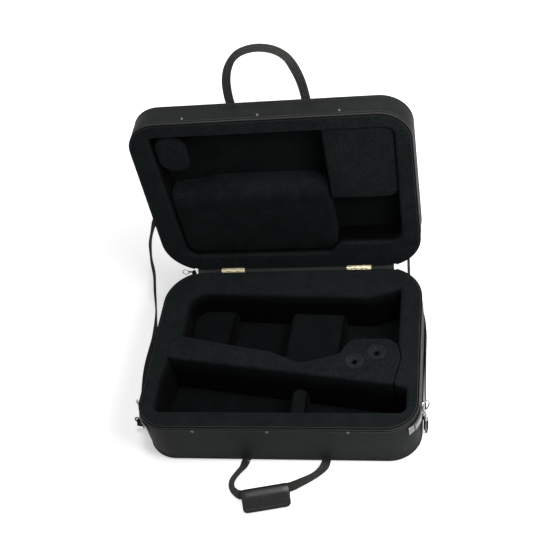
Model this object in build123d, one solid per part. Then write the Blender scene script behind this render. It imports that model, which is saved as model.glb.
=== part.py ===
"""A zip-closed case for two trumpets, standing open with its lid upright.

Millimetres, +Z up. The origin is the centre of the bottom of the base, the hinge line runs along X
at the back, and the front wall faces -Y. The two halves of the shell are drawn from their rim, as if
each lay with its rim at z = 0 and its inside below. The base is then lifted to its height, and the
lid is mirrored and swung open about the hinge line.
"""
import os
from math import cos, degrees, radians, sin, tan

from build123d import *

os.makedirs("parts", exist_ok=True)

# Case
WIDTH = 580.0
DEPTH = 430.0
BASE_HEIGHT = 120.0
LID_HEIGHT = 65.0
FRONT_CORNER = 66.0
REAR_CORNER = 90.0
BACK = DEPTH / 2

# Layers of the wall, counted inwards from the outline
COVER = 2.3
SHELL_OUTSIDE = 2.5
SHELL_INSIDE = 6.5
LINER_OUTSIDE = 6.7
COVER_PLATE = 3.7
SHELL_FLOOR = 7.8
LINER_FLOOR = 8.0
PIPING_RADIUS = 1.75
PIPING_HEIGHT = 5.6
SIDE_START = 7.45
FIT = 0.4

# Zip
TAPE_LOW = 9.0
TAPE_HIGH = 3.6
COIL_HIGH = 0.4
ZIP_END = 232.0
SLIDER_ANGLE = 112.0

# Hinges
HINGE_X = (-142.0, 148.0)
HINGE_LENGTH = 55.0
KNUCKLES = 5
KNUCKLE_RADIUS = 2.8
PIN_RADIUS = 1.2
LEAF_DROP = 24.0
SCREW_OFFSETS = (-18.0, 0.0, 18.0)
SCREW_DROP = 13.0

# Soft blocks, as heights above the floor that the case stands on
DIVIDER_TOP = 118.0
BLOCK_TOP = 60.0
BACK_PAD_TOP = 20.0
FRONT_PAD_TOP = 15.0
POST_TOP = 80.0
SOCKETS = ((154.0, -46.0), (199.0, -24.0))
SOCKET_FLANGE = 20.0
SOCKET_DISH = 16.0
SOCKET_TUBE = 9.0
SOCKET_BORE = 5.75
SOCKET_DEPTH = 60.0

# Pads in the lid, as depths behind the rim
LID_FLOOR_DEPTH = 52.0
LID_PAD_DEPTH = 10.0
LARGE_PAD_TOP = -36.0
LARGE_PAD_ROUND = 38.0
LID_BLOCK_DEPTH = 6.0

# Webbing, handles and their leather
WEBBING = 2.4
HANDLE_WEBBING = 20.0
STRAP_WEBBING = 25.0
BASE_FEET_X = (-72.0, 96.0)
LID_FEET_X = (-73.0, 81.0)
LEATHER = 2.2
GRIP_LENGTH = 95.0
GRIP_CENTRE = (-21.0, -289.0)
GRIP_TURN = 12.0

# Corner tabs, D-rings and snap hooks
TAB_Z = 86.0
TAB_HEIGHT = 22.0
TAB_TURN = 48.0
RING_BAR = (294.7, -143.0)
RING_WIRE = 1.8
RING_HALF = 15.0
RING_STRAIGHT = 5.0
RING_SWING = 45.0
HOOK_WIRE = 1.8
HOOK_LEG = 5.6
EYE_WIRE = 1.9
EYE_HALF = 15.4
EYE_BAR = -44.5

# How each hook hangs: its long axis, and the widths of the hook and of its eye, right side first
HANG = {1: (-0.02, 0, 1), -1: (0.25, 0, 0.97)}
HOOK_WIDTH = {1: (0.5, -0.866, 0), -1: (-0.5, -0.866, 0)}
EYE_WIDTH = {1: (0, 1, 0), -1: (1, 0, 0)}


def save(shape, name):
    export_step(Compound(label=name, children=list(shape.solids())), f"parts/{name}.step")


def box(x, y, z):
    """A box from three ranges."""
    size = [high - low for low, high in (x, y, z)]
    middle = [(high + low) / 2 for low, high in (x, y, z)]
    return Pos(*middle) * Box(*size)


def rod(start, end, radius):
    """A round rod between two points."""
    a, b = Vector(*start), Vector(*end)
    plane = Plane(origin=a, z_dir=b - a)
    return extrude(plane * Circle(radius), (b - a).length)


def polygon(*points):
    return make_face(Polyline(*points, close=True).edges())


def prism(sketch, low, high):
    return extrude(Pos(0, 0, low) * sketch, high - low)


def smooth(*points):
    """Straight runs joined by tangent arcs, each as large as its two runs allow."""
    at = [Vector(*p) for p in points]
    radii = []
    for a, b, c in zip(at, at[1:], at[2:]):
        turn = radians((b - a).get_angle(c - b))
        radii.append(0.45 * min((b - a).length, (c - b).length) / tan(turn / 2))
    return FilletPolyline(*points, radius=radii), radii


def plan(inset):
    """The case's outline from above, drawn in: small corners in front, large ones behind."""
    face = Rectangle(WIDTH - 2 * inset, DEPTH - 2 * inset)
    face = fillet(face.vertices().group_by(Axis.Y)[0], FRONT_CORNER - inset)
    return fillet(face.vertices().group_by(Axis.Y)[-1], REAR_CORNER - inset)


def slab(inset, low, high):
    return prism(plan(inset), low, high)


def ring(outside, inside, low, high):
    return slab(outside, low, high) - slab(inside, low - 1, high + 1)


def in_base(shape):
    return Pos(0, 0, BASE_HEIGHT) * shape


def in_lid(shape):
    """From rim coordinates to the open lid."""
    return Pos(0, BACK, BASE_HEIGHT) * Rot(-90, 0, 0) * Pos(0, -BACK, 0) * mirror(shape, Plane.XY)


# The two halves of the shell, each drawn with its rim at z = 0 and its floor at z = -height.
# Covers, tapes and shells are cut clear of the hinge knuckles and of the hinge screws, and the lid's
# cover and zip of the slider that waits at the left rear corner.
behind = box((-ZIP_END, ZIP_END), (BACK - 60, BACK + 10), (-400, 10))
knuckle_room = Part() + [
    rod((x - HINGE_LENGTH / 2 - 1, BACK, 0), (x + HINGE_LENGTH / 2 + 1, BACK, 0), KNUCKLE_RADIUS + 0.5)
    for x in HINGE_X
]
slider_room = box((-242, -226), (BACK - 60, BACK + 10), (-TAPE_LOW - 0.2, 10))
screw_at = [(x + dx, -SCREW_DROP) for x in HINGE_X for dx in SCREW_OFFSETS]
screw_room = Part() + [rod((x, BACK - 12, z), (x, BACK - 3.1, z), 1.5) for x, z in screw_at]


def side_cover(height):
    front = ring(0, COVER, SIDE_START - height, -TAPE_LOW - 0.2) - behind
    rear = ring(0, COVER, SIDE_START - height, -1.2) & behind
    return front + rear - knuckle_room


def end_cover(height):
    """The padded plate of the big outer face, its outer edge eased."""
    plate = slab(1.2, -height, COVER_PLATE - height)
    return fillet(plate.edges().group_by(Axis.Z)[0], 2.0)


def piping(height):
    path = (Pos(0, 0, PIPING_HEIGHT - height) * plan(0.5)).face().outer_wire()
    start = path.position_at(0)
    section = Plane(origin=start, z_dir=path.tangent_at(0)) * Circle(PIPING_RADIUS)
    return sweep(section, path=path)


def shell(height):
    tray = slab(SHELL_OUTSIDE, COVER_PLATE + 0.1 - height, -1.5)
    tray -= slab(SHELL_INSIDE, SHELL_FLOOR - height, 1)
    return tray - knuckle_room - screw_room


def zip_tape():
    return ring(0.1, COVER, -TAPE_LOW, -TAPE_HIGH) - behind


def zip_coil():
    return ring(-0.7, 2.0, 0.2 - TAPE_HIGH, -COIL_HIGH) - behind


hinge_pocket = Part() + [
    box((x - HINGE_LENGTH / 2 - 0.5, x + HINGE_LENGTH / 2 + 0.5), (BACK - 9.0, BACK - 6), (-LEAF_DROP - 0.5, 1))
    for x in HINGE_X
]


def liner(height, cavity, edge):
    """The foam frame round the cavity, its inner top edge rounded."""
    frame = slab(LINER_OUTSIDE, LINER_FLOOR - height, -1.0) - prism(cavity, -height, 1)
    inner = frame.faces().sort_by(Axis.Z)[-1].inner_wires()[0].edges()
    frame = fillet(inner, edge)
    return frame - hinge_pocket


# Wells of the base, seen from above
front_well = polygon((-257, -174), (265, -174), (265, -114), (238, -111), (238, -90), (-240, -20), (-249, -32), (-259, -90))
corners = front_well.vertices().group_by(Axis.Y)[0]
front_well = fillet(corners, 16.0)
back_well = polygon((-228, 12), (-234, 151), (180, 128), (244, 154), (243, -10), (110, -60), (-220, -12))
rear_left = back_well.vertices().sort_by_distance((-234, 151))[0]
back_well = fillet(rear_left, 42.0)
bend = back_well.vertices().sort_by_distance((180, 128))[0]
back_well = fillet(bend, 60.0)

# The divider runs slanting across, and ends on the right in a broad ear with the two sockets
bar = polygon(
    (-252, -40), (236, -112), (236, -90), (120, -25), (40, -50), (12, -40),
    (-27, -18), (-72, -7), (-120, 1), (-230, 27), (-256, 7),
)
ear = Pos(185.5, -47) * RectangleRounded(131, 124, 45)
in_front = polygon((-270, -30.4), (270, -109.6), (270, -200), (-270, -200))
divider_plan = bar + ear - in_front
divider_pocket = offset(divider_plan, 0.3)
divider_clear = offset(divider_plan, FIT)
base_cavity = front_well + back_well + divider_pocket

# Recesses of the lid, seen from above with the lid closed: the hinge side is at +Y
lid_cavity = polygon(
    (-246, BACK - 396), (256, BACK - 396), (250, BACK - 79), (116, BACK - 79), (92, BACK - 48), (-238, BACK - 48),
)
for corner, radius in (
    ((-246, BACK - 396), 10), ((256, BACK - 396), 20), ((250, BACK - 79), 26),
    ((116, BACK - 79), 14), ((92, BACK - 48), 18), ((-238, BACK - 48), 28),
):
    lid_cavity = fillet(lid_cavity.vertices().sort_by_distance(corner)[0], radius)


def base_soft_parts():
    front = offset(front_well, -FIT) - divider_clear
    back = offset(back_well, -FIT) - divider_clear
    left = polygon((-140, -10), (-128, 160), (-240, 160), (-240, -10)) & back
    middle = polygon((-14, -45), (-3, 160), (121, 160), (112, -45)) & back
    post = (Pos(44, -150) * SlotOverall(120, 36, rotation=90)) & front
    yield "back_floor_pad", prism(back, LINER_FLOOR + 0.1, BACK_PAD_TOP)
    yield "front_floor_pad", prism(front, LINER_FLOOR + 0.1, FRONT_PAD_TOP)
    for name, sketch, low, high, edge in (
        ("left_block", left, BACK_PAD_TOP + 0.1, BLOCK_TOP, 8.0),
        ("middle_block", middle, BACK_PAD_TOP + 0.1, BLOCK_TOP, 8.0),
        ("small_post", post, FRONT_PAD_TOP + 0.1, POST_TOP, 8.0),
    ):
        block = prism(sketch, low, high)
        yield name, fillet(block.faces().sort_by(Axis.Z)[-1].edges(), edge)


def divider():
    body = prism(divider_plan, LINER_FLOOR + 0.1, DIVIDER_TOP)
    front_edge = body.faces().sort_by(Axis.Z)[-1].edges().sort_by(SortBy.LENGTH)[-1]
    body = fillet(front_edge, 4.0)
    for x, y in SOCKETS:
        body -= rod((x, y, DIVIDER_TOP - 8.2), (x, y, DIVIDER_TOP + 1), SOCKET_FLANGE + 0.2)
        body -= rod((x, y, DIVIDER_TOP - SOCKET_DEPTH - 0.3), (x, y, DIVIDER_TOP), SOCKET_TUBE + 0.2)
    return body


def socket(x, y):
    """A dished collar on a tube that takes a mouthpiece's shank."""
    top = DIVIDER_TOP
    body = rod((x, y, top - 8), (x, y, top), SOCKET_FLANGE)
    body += rod((x, y, top - SOCKET_DEPTH), (x, y, top - 7), SOCKET_TUBE)
    dish = Pos(x, y, top - 3) * Cone(SOCKET_BORE + 2.5, SOCKET_DISH, 6.01)
    return body - dish - rod((x, y, top - SOCKET_DEPTH - 1), (x, y, top), SOCKET_BORE)


def lid_soft_parts():
    """Floor pad and three pads of the lid, in rim coordinates."""
    inside = offset(lid_cavity, -FIT)
    boss = (Pos(-206.5, BACK - 344) * RectangleRounded(72, 96, 34)) & inside
    large = polygon((-245, BACK), (107, BACK), (107, LARGE_PAD_TOP), (-130, LARGE_PAD_TOP), (-245, -20)) & inside
    block = polygon((110, BACK - 206), (260, BACK - 206), (260, BACK - 400), (110, BACK - 400)) & inside
    yield "lid_floor_pad", prism(inside, -LID_HEIGHT + LINER_FLOOR + 0.1, -LID_FLOOR_DEPTH)
    for name, sketch, depth, edge in (
        ("lid_corner_boss", boss, LID_PAD_DEPTH, 8.0),
        ("lid_block", block, LID_BLOCK_DEPTH, 7.0),
    ):
        pad = prism(sketch, 0.1 - LID_FLOOR_DEPTH, -depth)
        yield name, fillet(pad.faces().sort_by(Axis.Z)[-1].edges(), edge)
    pad = prism(large, 0.1 - LID_FLOOR_DEPTH, -LID_PAD_DEPTH)
    top = pad.faces().sort_by(Axis.Z)[-1].edges()
    pad = fillet([edge for edge in top if edge.center().Y > 0], 8.0)
    bend, depth = LARGE_PAD_TOP + LARGE_PAD_ROUND, -LID_PAD_DEPTH - LARGE_PAD_ROUND
    rounded = rod((-300, bend, depth), (300, bend, depth), LARGE_PAD_ROUND)
    rounded += box((-300, 300), (bend, BACK), (-LID_HEIGHT, 0))
    rounded += box((-300, 300), (LARGE_PAD_TOP, BACK), (-LID_HEIGHT, depth))
    yield "lid_large_pad", pad & rounded


# Hinges, in rim coordinates
def hinge_leaf(x, own):
    """A leaf on the wall's inner face, folded over its edge, with its own knuckles of the barrel."""
    low, high = x - HINGE_LENGTH / 2, x + HINGE_LENGTH / 2
    step = HINGE_LENGTH / KNUCKLES
    leaf = box((low, high), (BACK - 7.6, BACK - 6.7), (-LEAF_DROP, -0.4))
    leaf += box((low, high), (BACK - 7.6, BACK - 3.4), (-1.3, -0.4))
    for i in own:
        start, end = low + i * step + 0.15, low + (i + 1) * step - 0.15
        leaf += rod((start, BACK, 0), (end, BACK, 0), KNUCKLE_RADIUS)
        leaf += box((start, end), (BACK - 3.5, BACK - 1.0), (-1.3, -0.4))
    leaf -= rod((low - 1, BACK, 0), (high + 1, BACK, 0), PIN_RADIUS + 0.05)
    return leaf - screw_room


def hinge_screws():
    head = [rod((x, BACK - 8.5, z), (x, BACK - 7.65, z), 2.8) for x, z in screw_at]
    shank = [rod((x, BACK - 7.7, z), (x, BACK - 3.2, z), 1.45) for x, z in screw_at]
    return Part() + [a + b for a, b in zip(head, shank)]


def hinge_cloth():
    """The cloth that joins the halves behind the knuckles, folded over the open hinge's corner."""
    section = polygon(
        (0.2, -26), (1.2, -26), (1.2, -4.8), (4.8, -1.2), (26, -1.2), (26, -0.2), (4.4, -0.2), (0.2, -4.4),
    )
    plane = Plane(origin=(-206, BACK, BASE_HEIGHT), x_dir=(0, 1, 0), z_dir=(1, 0, 0))
    return extrude(plane * section, 412)


def zip_end_strip():
    """The end of the zip tape, bridging the corner gap on the right."""
    section = polygon((BACK - 19.1, -1.6), (BACK - 18.3, -2.2), (BACK + 1.4, 18.0), (BACK + 0.6, 18.7))
    plane = Plane(origin=(257, 0, BASE_HEIGHT), x_dir=(0, 1, 0), z_dir=(1, 0, 0))
    return extrude(plane * section, 5)


RIVETS_X = (-167.0, -12.0, 152.0)
RIVET_DROP = {"base": 16.0, "lid": 20.0}


def wall_rivets(drop):
    """Domed rivets through the front wall, in rim coordinates."""
    rivets = []
    for x in RIVETS_X:
        head = rod((x, -BACK - 1.2, -drop), (x, -BACK - 0.05, -drop), 3.2)
        head = fillet(head.edges().group_by(Axis.Y)[0], 0.8)
        rivets.append(head + rod((x, -BACK - 0.1, -drop), (x, -BACK + 6, -drop), 1.5))
    return Part() + rivets


def rivet_room(drop):
    return Part() + [rod((x, -BACK - 1, -drop), (x, -BACK + 6.2, -drop), 1.6) for x in RIVETS_X]


# Zip slider and its pull, at the end of the zip on the left rear corner
corner_centre = (-(WIDTH / 2 - REAR_CORNER), BACK - REAR_CORNER)


def zip_slider():
    """A plate outside both tapes with a bail, drawn along +X from the corner's centre and then turned."""
    r = REAR_CORNER
    plate = box((r + 1.1, r + 2.9), (-5, 5), (-6.5, 6.5))
    plate = fillet(plate.edges().filter_by(Axis.X), 2.5)
    for z in (-3.6, 3.6):
        plate += box((r + 2.5, r + 6.0), (-1.6, 1.6), (z - 0.9, z + 0.9))
    plate += rod((r + 5, 0, -4.5), (r + 5, 0, 4.5), 0.8)
    return Pos(*corner_centre, BASE_HEIGHT) * Rot(0, 0, SLIDER_ANGLE) * plate


def zip_pull():
    """A link and a ring, standing out to the left from the slider's bail."""
    r = REAR_CORNER + 5
    centre = Vector(*corner_centre, BASE_HEIGHT) + Vector(r * cos(radians(SLIDER_ANGLE)), r * sin(radians(SLIDER_ANGLE)), 0)
    link = rod((0, 0, -2.2), (0, 0, 2.2), 1.8) + box((-13, -1), (-0.8, 0.8), (-1.9, 1.9))
    link -= rod((0, 0, -3), (0, 0, 3), 0.87)
    link += Pos(-19.5, 0, 0) * Rot(90, 0, 0) * Torus(7.2, 1.2)
    return Pos(*centre) * link


# Handles
def base_handle():
    """Webbing that leaves under the front edge, turns on its edge and runs through the grip."""
    path, _ = smooth(
        (-73, -243), (-82, -262), (-93, -276), (-96, -289), (-88, -299), (-70, -300), (-21, -290),
        (24, -279), (54, -267), (75, -255), (90, -243), (95, -232),
    )
    band = prism(trace(path, WEBBING), 2.6, 20.8)
    for x, end in zip(BASE_FEET_X, (-249, -252)):
        band += box((x - 10, x + 10), (end, -218.2), (0.2, 2.9))
    return band - box((60, 120), (-242, -210), (2.95, 30))


def base_handle_feet():
    """The ends of the webbing, let in flush under the base."""
    return Part() + [box((x - 10, x + 10), (-217, -160), (0.2, 2.6)) for x in BASE_FEET_X]


def grip(profile):
    """A prism along the grip from its profile: forward of the webbing is negative."""
    plane = Plane(origin=(0, 0, 0), x_dir=(0, 1, 0), z_dir=(1, 0, 0))
    body = Pos(-GRIP_LENGTH / 2, 0, 0) * extrude(plane * polygon(*profile), GRIP_LENGTH)
    return Pos(*GRIP_CENTRE, 0) * Rot(0, 0, GRIP_TURN) * body


def grip_back():
    return grip([(-38, 0.2), (5, 0.2), (5, 21.5), (2.8, 21.5), (2.8, 2.4), (-38, 2.4)])


def grip_flap():
    return grip([(5, 22.4), (5, 24.4), (2, 26), (-4, 26), (-38, 5.2), (-38, 2.8), (-4, 23.4), (2, 22.4)])


def lid_handle():
    path, _ = smooth(
        (-73, 530), (-75, 562), (-72, 600), (-62, 632), (-44, 658), (-20, 671), (8, 674),
        (35, 667), (55, 651), (67, 627), (76, 594), (80, 560), (81, 530),
    )
    band = extrude(trace(path, 17.0), WEBBING)
    return Pos(0, 282.8, 0) * Rot(90, 0, 0) * band


def lid_handle_feet():
    """Webbing sewn flat on the lid under a square patch."""
    feet = []
    for x in LID_FEET_X:
        foot = box((x - 10, x + 10), (280.1, 282.5), (462, 527.4))
        feet.append(foot + box((x - 16, x + 16), (280.1, 283.4), (462, 500)))
    return Part() + feet


# Corner tabs, D-rings, snap hooks and the shoulder strap. The right side is drawn with side = 1.
def ring_tab(side):
    """A leather tab round the front corner, folded round the D-ring's bar."""
    cx, cy = WIDTH / 2 - FRONT_CORNER, FRONT_CORNER - BACK
    inner = FRONT_CORNER + 0.1
    band = Circle(inner + LEATHER) - Circle(inner)
    reach = 2 * FRONT_CORNER
    wedge = polygon((0, 0), (reach, 0), (reach * cos(radians(-TAB_TURN)), reach * sin(radians(-TAB_TURN))))
    tab = Pos(cx, cy) * (band & wedge)
    tab += Pos(cx + inner + LEATHER / 2, cy + 2.5) * Rectangle(LEATHER, 5.2)
    body = prism(tab, TAB_Z - TAB_HEIGHT / 2, TAB_Z + TAB_HEIGHT / 2)
    body += prism(Pos(*RING_BAR) * Circle(4.0), TAB_Z - 7, TAB_Z + 7)
    body -= prism(Pos(*RING_BAR) * Circle(RING_WIRE + 0.07), TAB_Z - 20, TAB_Z + 20)
    return body if side > 0 else mirror(body, Plane.YZ)


def d_ring(side):
    """A straight bar and a bow, drawn in the XZ plane and swung out from the wall."""
    h, s, r = RING_HALF, RING_STRAIGHT, 3.0
    edges = [
        Line((0, r - h), (0, h - r)),
        CenterArc((r, h - r), r, 90, 90),
        Line((r, h), (s, h)),
        CenterArc((s, 0), h, -90, 180),
        Line((s, -h), (r, -h)),
        CenterArc((r, r - h), r, 180, 90),
    ]
    path = Wire(sum((list(e.edges()) for e in edges), []))
    bow = sweep(Plane(origin=(0, 0, 0), z_dir=(0, 1, 0)) * Circle(RING_WIRE), path=path)
    bow = Rot(90, 0, 0) * bow
    body = Pos(*RING_BAR, TAB_Z) * Rot(0, 0, 90 - RING_SWING) * bow
    return body if side > 0 else mirror(body, Plane.YZ)


def hang_frame(side, width):
    """Where a hook hangs: the origin in the D-ring's lower arm, z up along the hook, x across it."""
    out = radians(RING_SWING)
    up = Vector(*HANG[side]).normalized()
    across = Vector(*width[side])
    x = side * (RING_BAR[0] + RING_STRAIGHT * sin(out))
    y = RING_BAR[1] + RING_STRAIGHT * cos(out)
    return Location(Plane(origin=(x, y, TAB_Z - RING_HALF), x_dir=across - up * up.dot(across), z_dir=up))


GATE_PIVOT = (HOOK_LEG, -17.6)


def snap_hook():
    """A round-wire hook on a block with a slot for the gate and a hollow barrel for the swivel."""
    top = -1.3
    plane = Plane(origin=(0, 0, 0), x_dir=(1, 0, 0), z_dir=(0, -1, 0))
    path = plane * Wire(
        list(Line((-HOOK_LEG, -18), (-HOOK_LEG, top)).edges())
        + list(CenterArc((0, top), HOOK_LEG, 180, -180).edges())
        + list(Line((HOOK_LEG, top), (HOOK_LEG, -3.6)).edges())
    )
    body = sweep(Plane(origin=(-HOOK_LEG, 0, -18), z_dir=(0, 0, 1)) * Circle(HOOK_WIRE), path=path)
    x, z = GATE_PIVOT
    body += box((-7.5, 7.8), (-3.3, 3.3), (-21.5, -15.5))
    body -= box((x - 3.0, 9), (-2.0, 2.0), (z - 2.4, -15))
    body += rod((x, -3.3, z), (x, 3.3, z), 1.0)
    body += rod((0, 0, -29), (0, 0, -21), 4.6)
    body -= rod((0, 0, -30), (0, 0, -25), 2.07)
    return body - rod((0, 0, -25.6), (0, 0, -22.6), 3.6)


def hook_gate():
    """The sprung bar that closes the hook."""
    x, z = GATE_PIVOT
    gate = rod((x, -1.7, z), (x, 1.7, z), 1.7) + box((x - 1.5, x + 1.5), (-1.7, 1.7), (z, -4.2))
    return gate - rod((x, -2, z), (x, 2, z), 1.06)


def swivel_eye():
    """A stem with a head inside the barrel, and a flat loop for the webbing."""
    top = -33.0
    plane = Plane(origin=(0, 0, 0), x_dir=(1, 0, 0), z_dir=(0, -1, 0))
    r = 3.0
    h = EYE_HALF
    path = plane * Wire(
        list(Line((-h + r, EYE_BAR), (h - r, EYE_BAR)).edges())
        + list(CenterArc((h - r, EYE_BAR + r), r, -90, 90).edges())
        + list(Line((h, EYE_BAR + r), (h, top - r)).edges())
        + list(CenterArc((h - r, top - r), r, 0, 90).edges())
        + list(Line((h - r, top), (r - h, top)).edges())
        + list(CenterArc((r - h, top - r), r, 90, 90).edges())
        + list(Line((-h, top - r), (-h, EYE_BAR + r)).edges())
        + list(CenterArc((r - h, EYE_BAR + r), r, 180, 90).edges())
    )
    eye = sweep(Plane(origin=(-h + r, 0, EYE_BAR), z_dir=(1, 0, 0)) * Circle(EYE_WIRE), path=path)
    return eye + rod((0, 0, top), (0, 0, -23.4), 2.0) + rod((0, 0, -25.4), (0, 0, -23.4), 3.2)


def strap_end():
    """The folded end of the strap round the eye's lower bar, and the doubled webbing below it."""
    half = STRAP_WEBBING / 2
    loop = rod((-half, 0, EYE_BAR), (half, 0, EYE_BAR), 2.3 + WEBBING)
    loop += box((-half, half), (-WEBBING, WEBBING), (-62, EYE_BAR))
    return loop - rod((-half - 1, 0, EYE_BAR), (half + 1, 0, EYE_BAR), 2.3)


STRAP_ROUTE = (
    (299.5, -140), (297.5, -75), (296, 60), (297, 165), (262, 226), (160, 276), (0, 352), (-150, 445),
    (-262, 502), (-324, 538), (-362, 549), (-399, 533), (-418, 499), (-416, 450), (-409, 398), (-395, 354),
    (-377, 303), (-363, 240), (-346, 176), (-336, 112), (-338, 40), (-334, -40), (-324, -98), (-312, -139),
)


def shoulder_strap():
    """Flat webbing on its edge on the floor, from hook to hook round the back of the case."""
    path, radii = smooth(*STRAP_ROUTE)
    strap = prism(trace(path, WEBBING), 0.3, STRAP_WEBBING + 0.3)
    length = path.length
    print(f"strap on the floor {length:.0f} mm, smallest bend {min(radii):.0f} mm,", end=" ")
    print(f"volume ratio {strap.volume / (length * WEBBING * STRAP_WEBBING):.3f}")
    for x in (-312, 299):
        strap -= box((x - 30, x + 30), (-165, -115), (20.5, 30))
    for side in (1, -1):
        strap += hang_frame(side, EYE_WIDTH) * strap_end()
    return strap


def build():
    # Base
    foot_channels = Part() + [box((x - 10.4, x + 10.4), (-220, -159.5), (-1, 2.9)) for x in BASE_FEET_X]
    room = in_base(rivet_room(RIVET_DROP["base"]))
    save(in_base(side_cover(BASE_HEIGHT)) - room, "base_side_cover")
    save(in_base(end_cover(BASE_HEIGHT)) - foot_channels, "base_bottom_cover")
    save(in_base(piping(BASE_HEIGHT)), "base_piping")
    save(in_base(shell(BASE_HEIGHT)) - room, "base_shell")
    save(in_base(zip_tape()), "base_zip_tape")
    save(in_base(zip_coil()), "base_zip_coil")
    save(in_base(liner(BASE_HEIGHT, base_cavity, 3.0)), "base_liner")
    save(in_base(wall_rivets(RIVET_DROP["base"])), "base_rivets")
    save(in_base(hinge_screws()), "base_hinge_screws")
    save(divider(), "divider")
    for name, (x, y) in zip(("mouthpiece_socket_front", "mouthpiece_socket_rear"), SOCKETS):
        save(socket(x, y), name)
    for name, part in base_soft_parts():
        save(part, name)

    # Lid
    room = rivet_room(RIVET_DROP["lid"])
    save(in_lid(side_cover(LID_HEIGHT) - room - slider_room), "lid_side_cover")
    save(in_lid(end_cover(LID_HEIGHT)), "lid_panel_cover")
    save(in_lid(piping(LID_HEIGHT)), "lid_piping")
    save(in_lid(shell(LID_HEIGHT) - room), "lid_shell")
    save(in_lid(zip_tape() - slider_room), "lid_zip_tape")
    save(in_lid(zip_coil() - slider_room), "lid_zip_coil")
    save(in_lid(liner(LID_HEIGHT, lid_cavity, 5.0)), "lid_liner")
    save(in_lid(wall_rivets(RIVET_DROP["lid"])), "lid_rivets")
    save(in_lid(hinge_screws()), "lid_hinge_screws")
    for name, part in lid_soft_parts():
        save(in_lid(part), name)

    # Hinges and what bridges the halves
    for name, x in zip(("left", "right"), HINGE_X):
        save(in_base(hinge_leaf(x, (0, 2, 4))), f"base_hinge_leaf_{name}")
        save(in_lid(hinge_leaf(x, (1, 3))), f"lid_hinge_leaf_{name}")
        half = HINGE_LENGTH / 2 - 0.2
        save(in_base(rod((x - half, BACK, 0), (x + half, BACK, 0), PIN_RADIUS)), f"hinge_pin_{name}")
    save(hinge_cloth(), "hinge_cloth")
    save(zip_end_strip(), "zip_end_strip")
    save(zip_slider(), "zip_slider")
    save(zip_pull(), "zip_pull")

    # Handles
    save(base_handle(), "base_handle")
    save(base_handle_feet(), "base_handle_feet")
    save(grip_back(), "grip_back")
    save(grip_flap(), "grip_flap")
    save(lid_handle(), "lid_handle")
    save(lid_handle_feet(), "lid_handle_feet")

    # Strap and its hardware
    for name, side in (("left", -1), ("right", 1)):
        place = hang_frame(side, HOOK_WIDTH)
        save(ring_tab(side), f"ring_tab_{name}")
        save(d_ring(side), f"d_ring_{name}")
        save(place * snap_hook(), f"snap_hook_{name}")
        save(place * hook_gate(), f"hook_gate_{name}")
        save(hang_frame(side, EYE_WIDTH) * swivel_eye(), f"swivel_eye_{name}")
        gate = (place * Pos(GATE_PIVOT[0], 0, GATE_PIVOT[1])).position
        axes = (("hangs at", place.position), ("up", Plane(place).z_dir), ("normal", Plane(place).y_dir), ("gate", gate))
        for word, v in axes:
            print(f"hook {name} {word} ({v.X:.4f}, {v.Y:.4f}, {v.Z:.4f})")
    save(shoulder_strap(), "shoulder_strap")


build()
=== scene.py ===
"""The looks of an open case for two trumpets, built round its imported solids.

Sizes here are millimetres, and every mesh is scaled to metres as it is made. Both halves of the case
are drawn from their rim, as in the CAD source: x and p are the plan of the closed case, and h is the
height over the rim, with the inside of each half below it.
"""
import math

import bmesh
import bpy
from mathutils import Matrix, Vector, noise
from mathutils.geometry import delaunay_2d_cdt


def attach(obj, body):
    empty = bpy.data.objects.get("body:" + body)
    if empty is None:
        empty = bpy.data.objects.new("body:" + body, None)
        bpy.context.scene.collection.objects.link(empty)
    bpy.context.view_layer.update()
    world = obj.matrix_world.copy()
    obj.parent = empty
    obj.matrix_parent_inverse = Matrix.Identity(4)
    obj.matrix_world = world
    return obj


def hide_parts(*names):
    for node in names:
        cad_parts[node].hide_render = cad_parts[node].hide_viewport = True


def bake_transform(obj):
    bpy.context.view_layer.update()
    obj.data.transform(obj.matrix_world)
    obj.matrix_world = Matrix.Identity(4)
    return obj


bl_info = {
    "name": "Double trumpet case",
    "version": (1, 0, 0),
    "blender": (4, 5, 0),
    "location": "3D View > Sidebar > Trumpet case",
    "description": "Covers, zip, plush lining, handles and strap for the packed double trumpet case",
    "category": "Object",
}

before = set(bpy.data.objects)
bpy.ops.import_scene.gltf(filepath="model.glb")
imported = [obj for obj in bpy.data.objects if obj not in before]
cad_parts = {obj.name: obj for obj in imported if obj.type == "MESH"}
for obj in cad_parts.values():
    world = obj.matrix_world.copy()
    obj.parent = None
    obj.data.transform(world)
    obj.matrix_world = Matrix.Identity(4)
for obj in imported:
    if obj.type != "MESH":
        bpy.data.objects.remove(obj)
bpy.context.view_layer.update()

WIDTH = 580.0
DEPTH = 430.0
BACK = DEPTH / 2
HEIGHT = {"base": 120.0, "lid": 65.0}
FRONT_CORNER = 66.0
REAR_CORNER = 90.0
ZIP_END = 69  # degrees of the rear corners that the zip goes round
HINGED = 233.0  # how far from the middle the rear wall has no zip
LID_FACE = BACK + HEIGHT["lid"]
LINER_FLOOR = 8.0
LINER_TOP = -0.35
WALL_PAINTED_SHADE = 5.0  # painted shade: how many times more depth a wall of the lining gets than a floor at its height


# Placing and building

def place(half, x, p, h):
    """A point of one half, from its rim coordinates to the open case."""
    if half == "base":
        return Vector((x, p, HEIGHT["base"] + h))
    return Vector((x, BACK - h, HEIGHT["base"] + BACK - p))


def upward(half):
    """The direction out of one half's inside, along its height."""
    return place(half, 0, 0, 1) - place(half, 0, 0, 0)


def wall_normal(half, p, t):
    """The direction out of one half's side wall, at a point of a line that runs round it."""
    out = t.cross(upward(half)).normalized()
    return out if out.dot(p - place(half, 0, 0, 0)) > 0 else -out


def stand_in(piece, slot, *nodes):
    """Puts a piece in the place of the CAD nodes, which it hides; its slot is not used."""
    if nodes:
        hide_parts(*nodes)
    return piece


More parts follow.
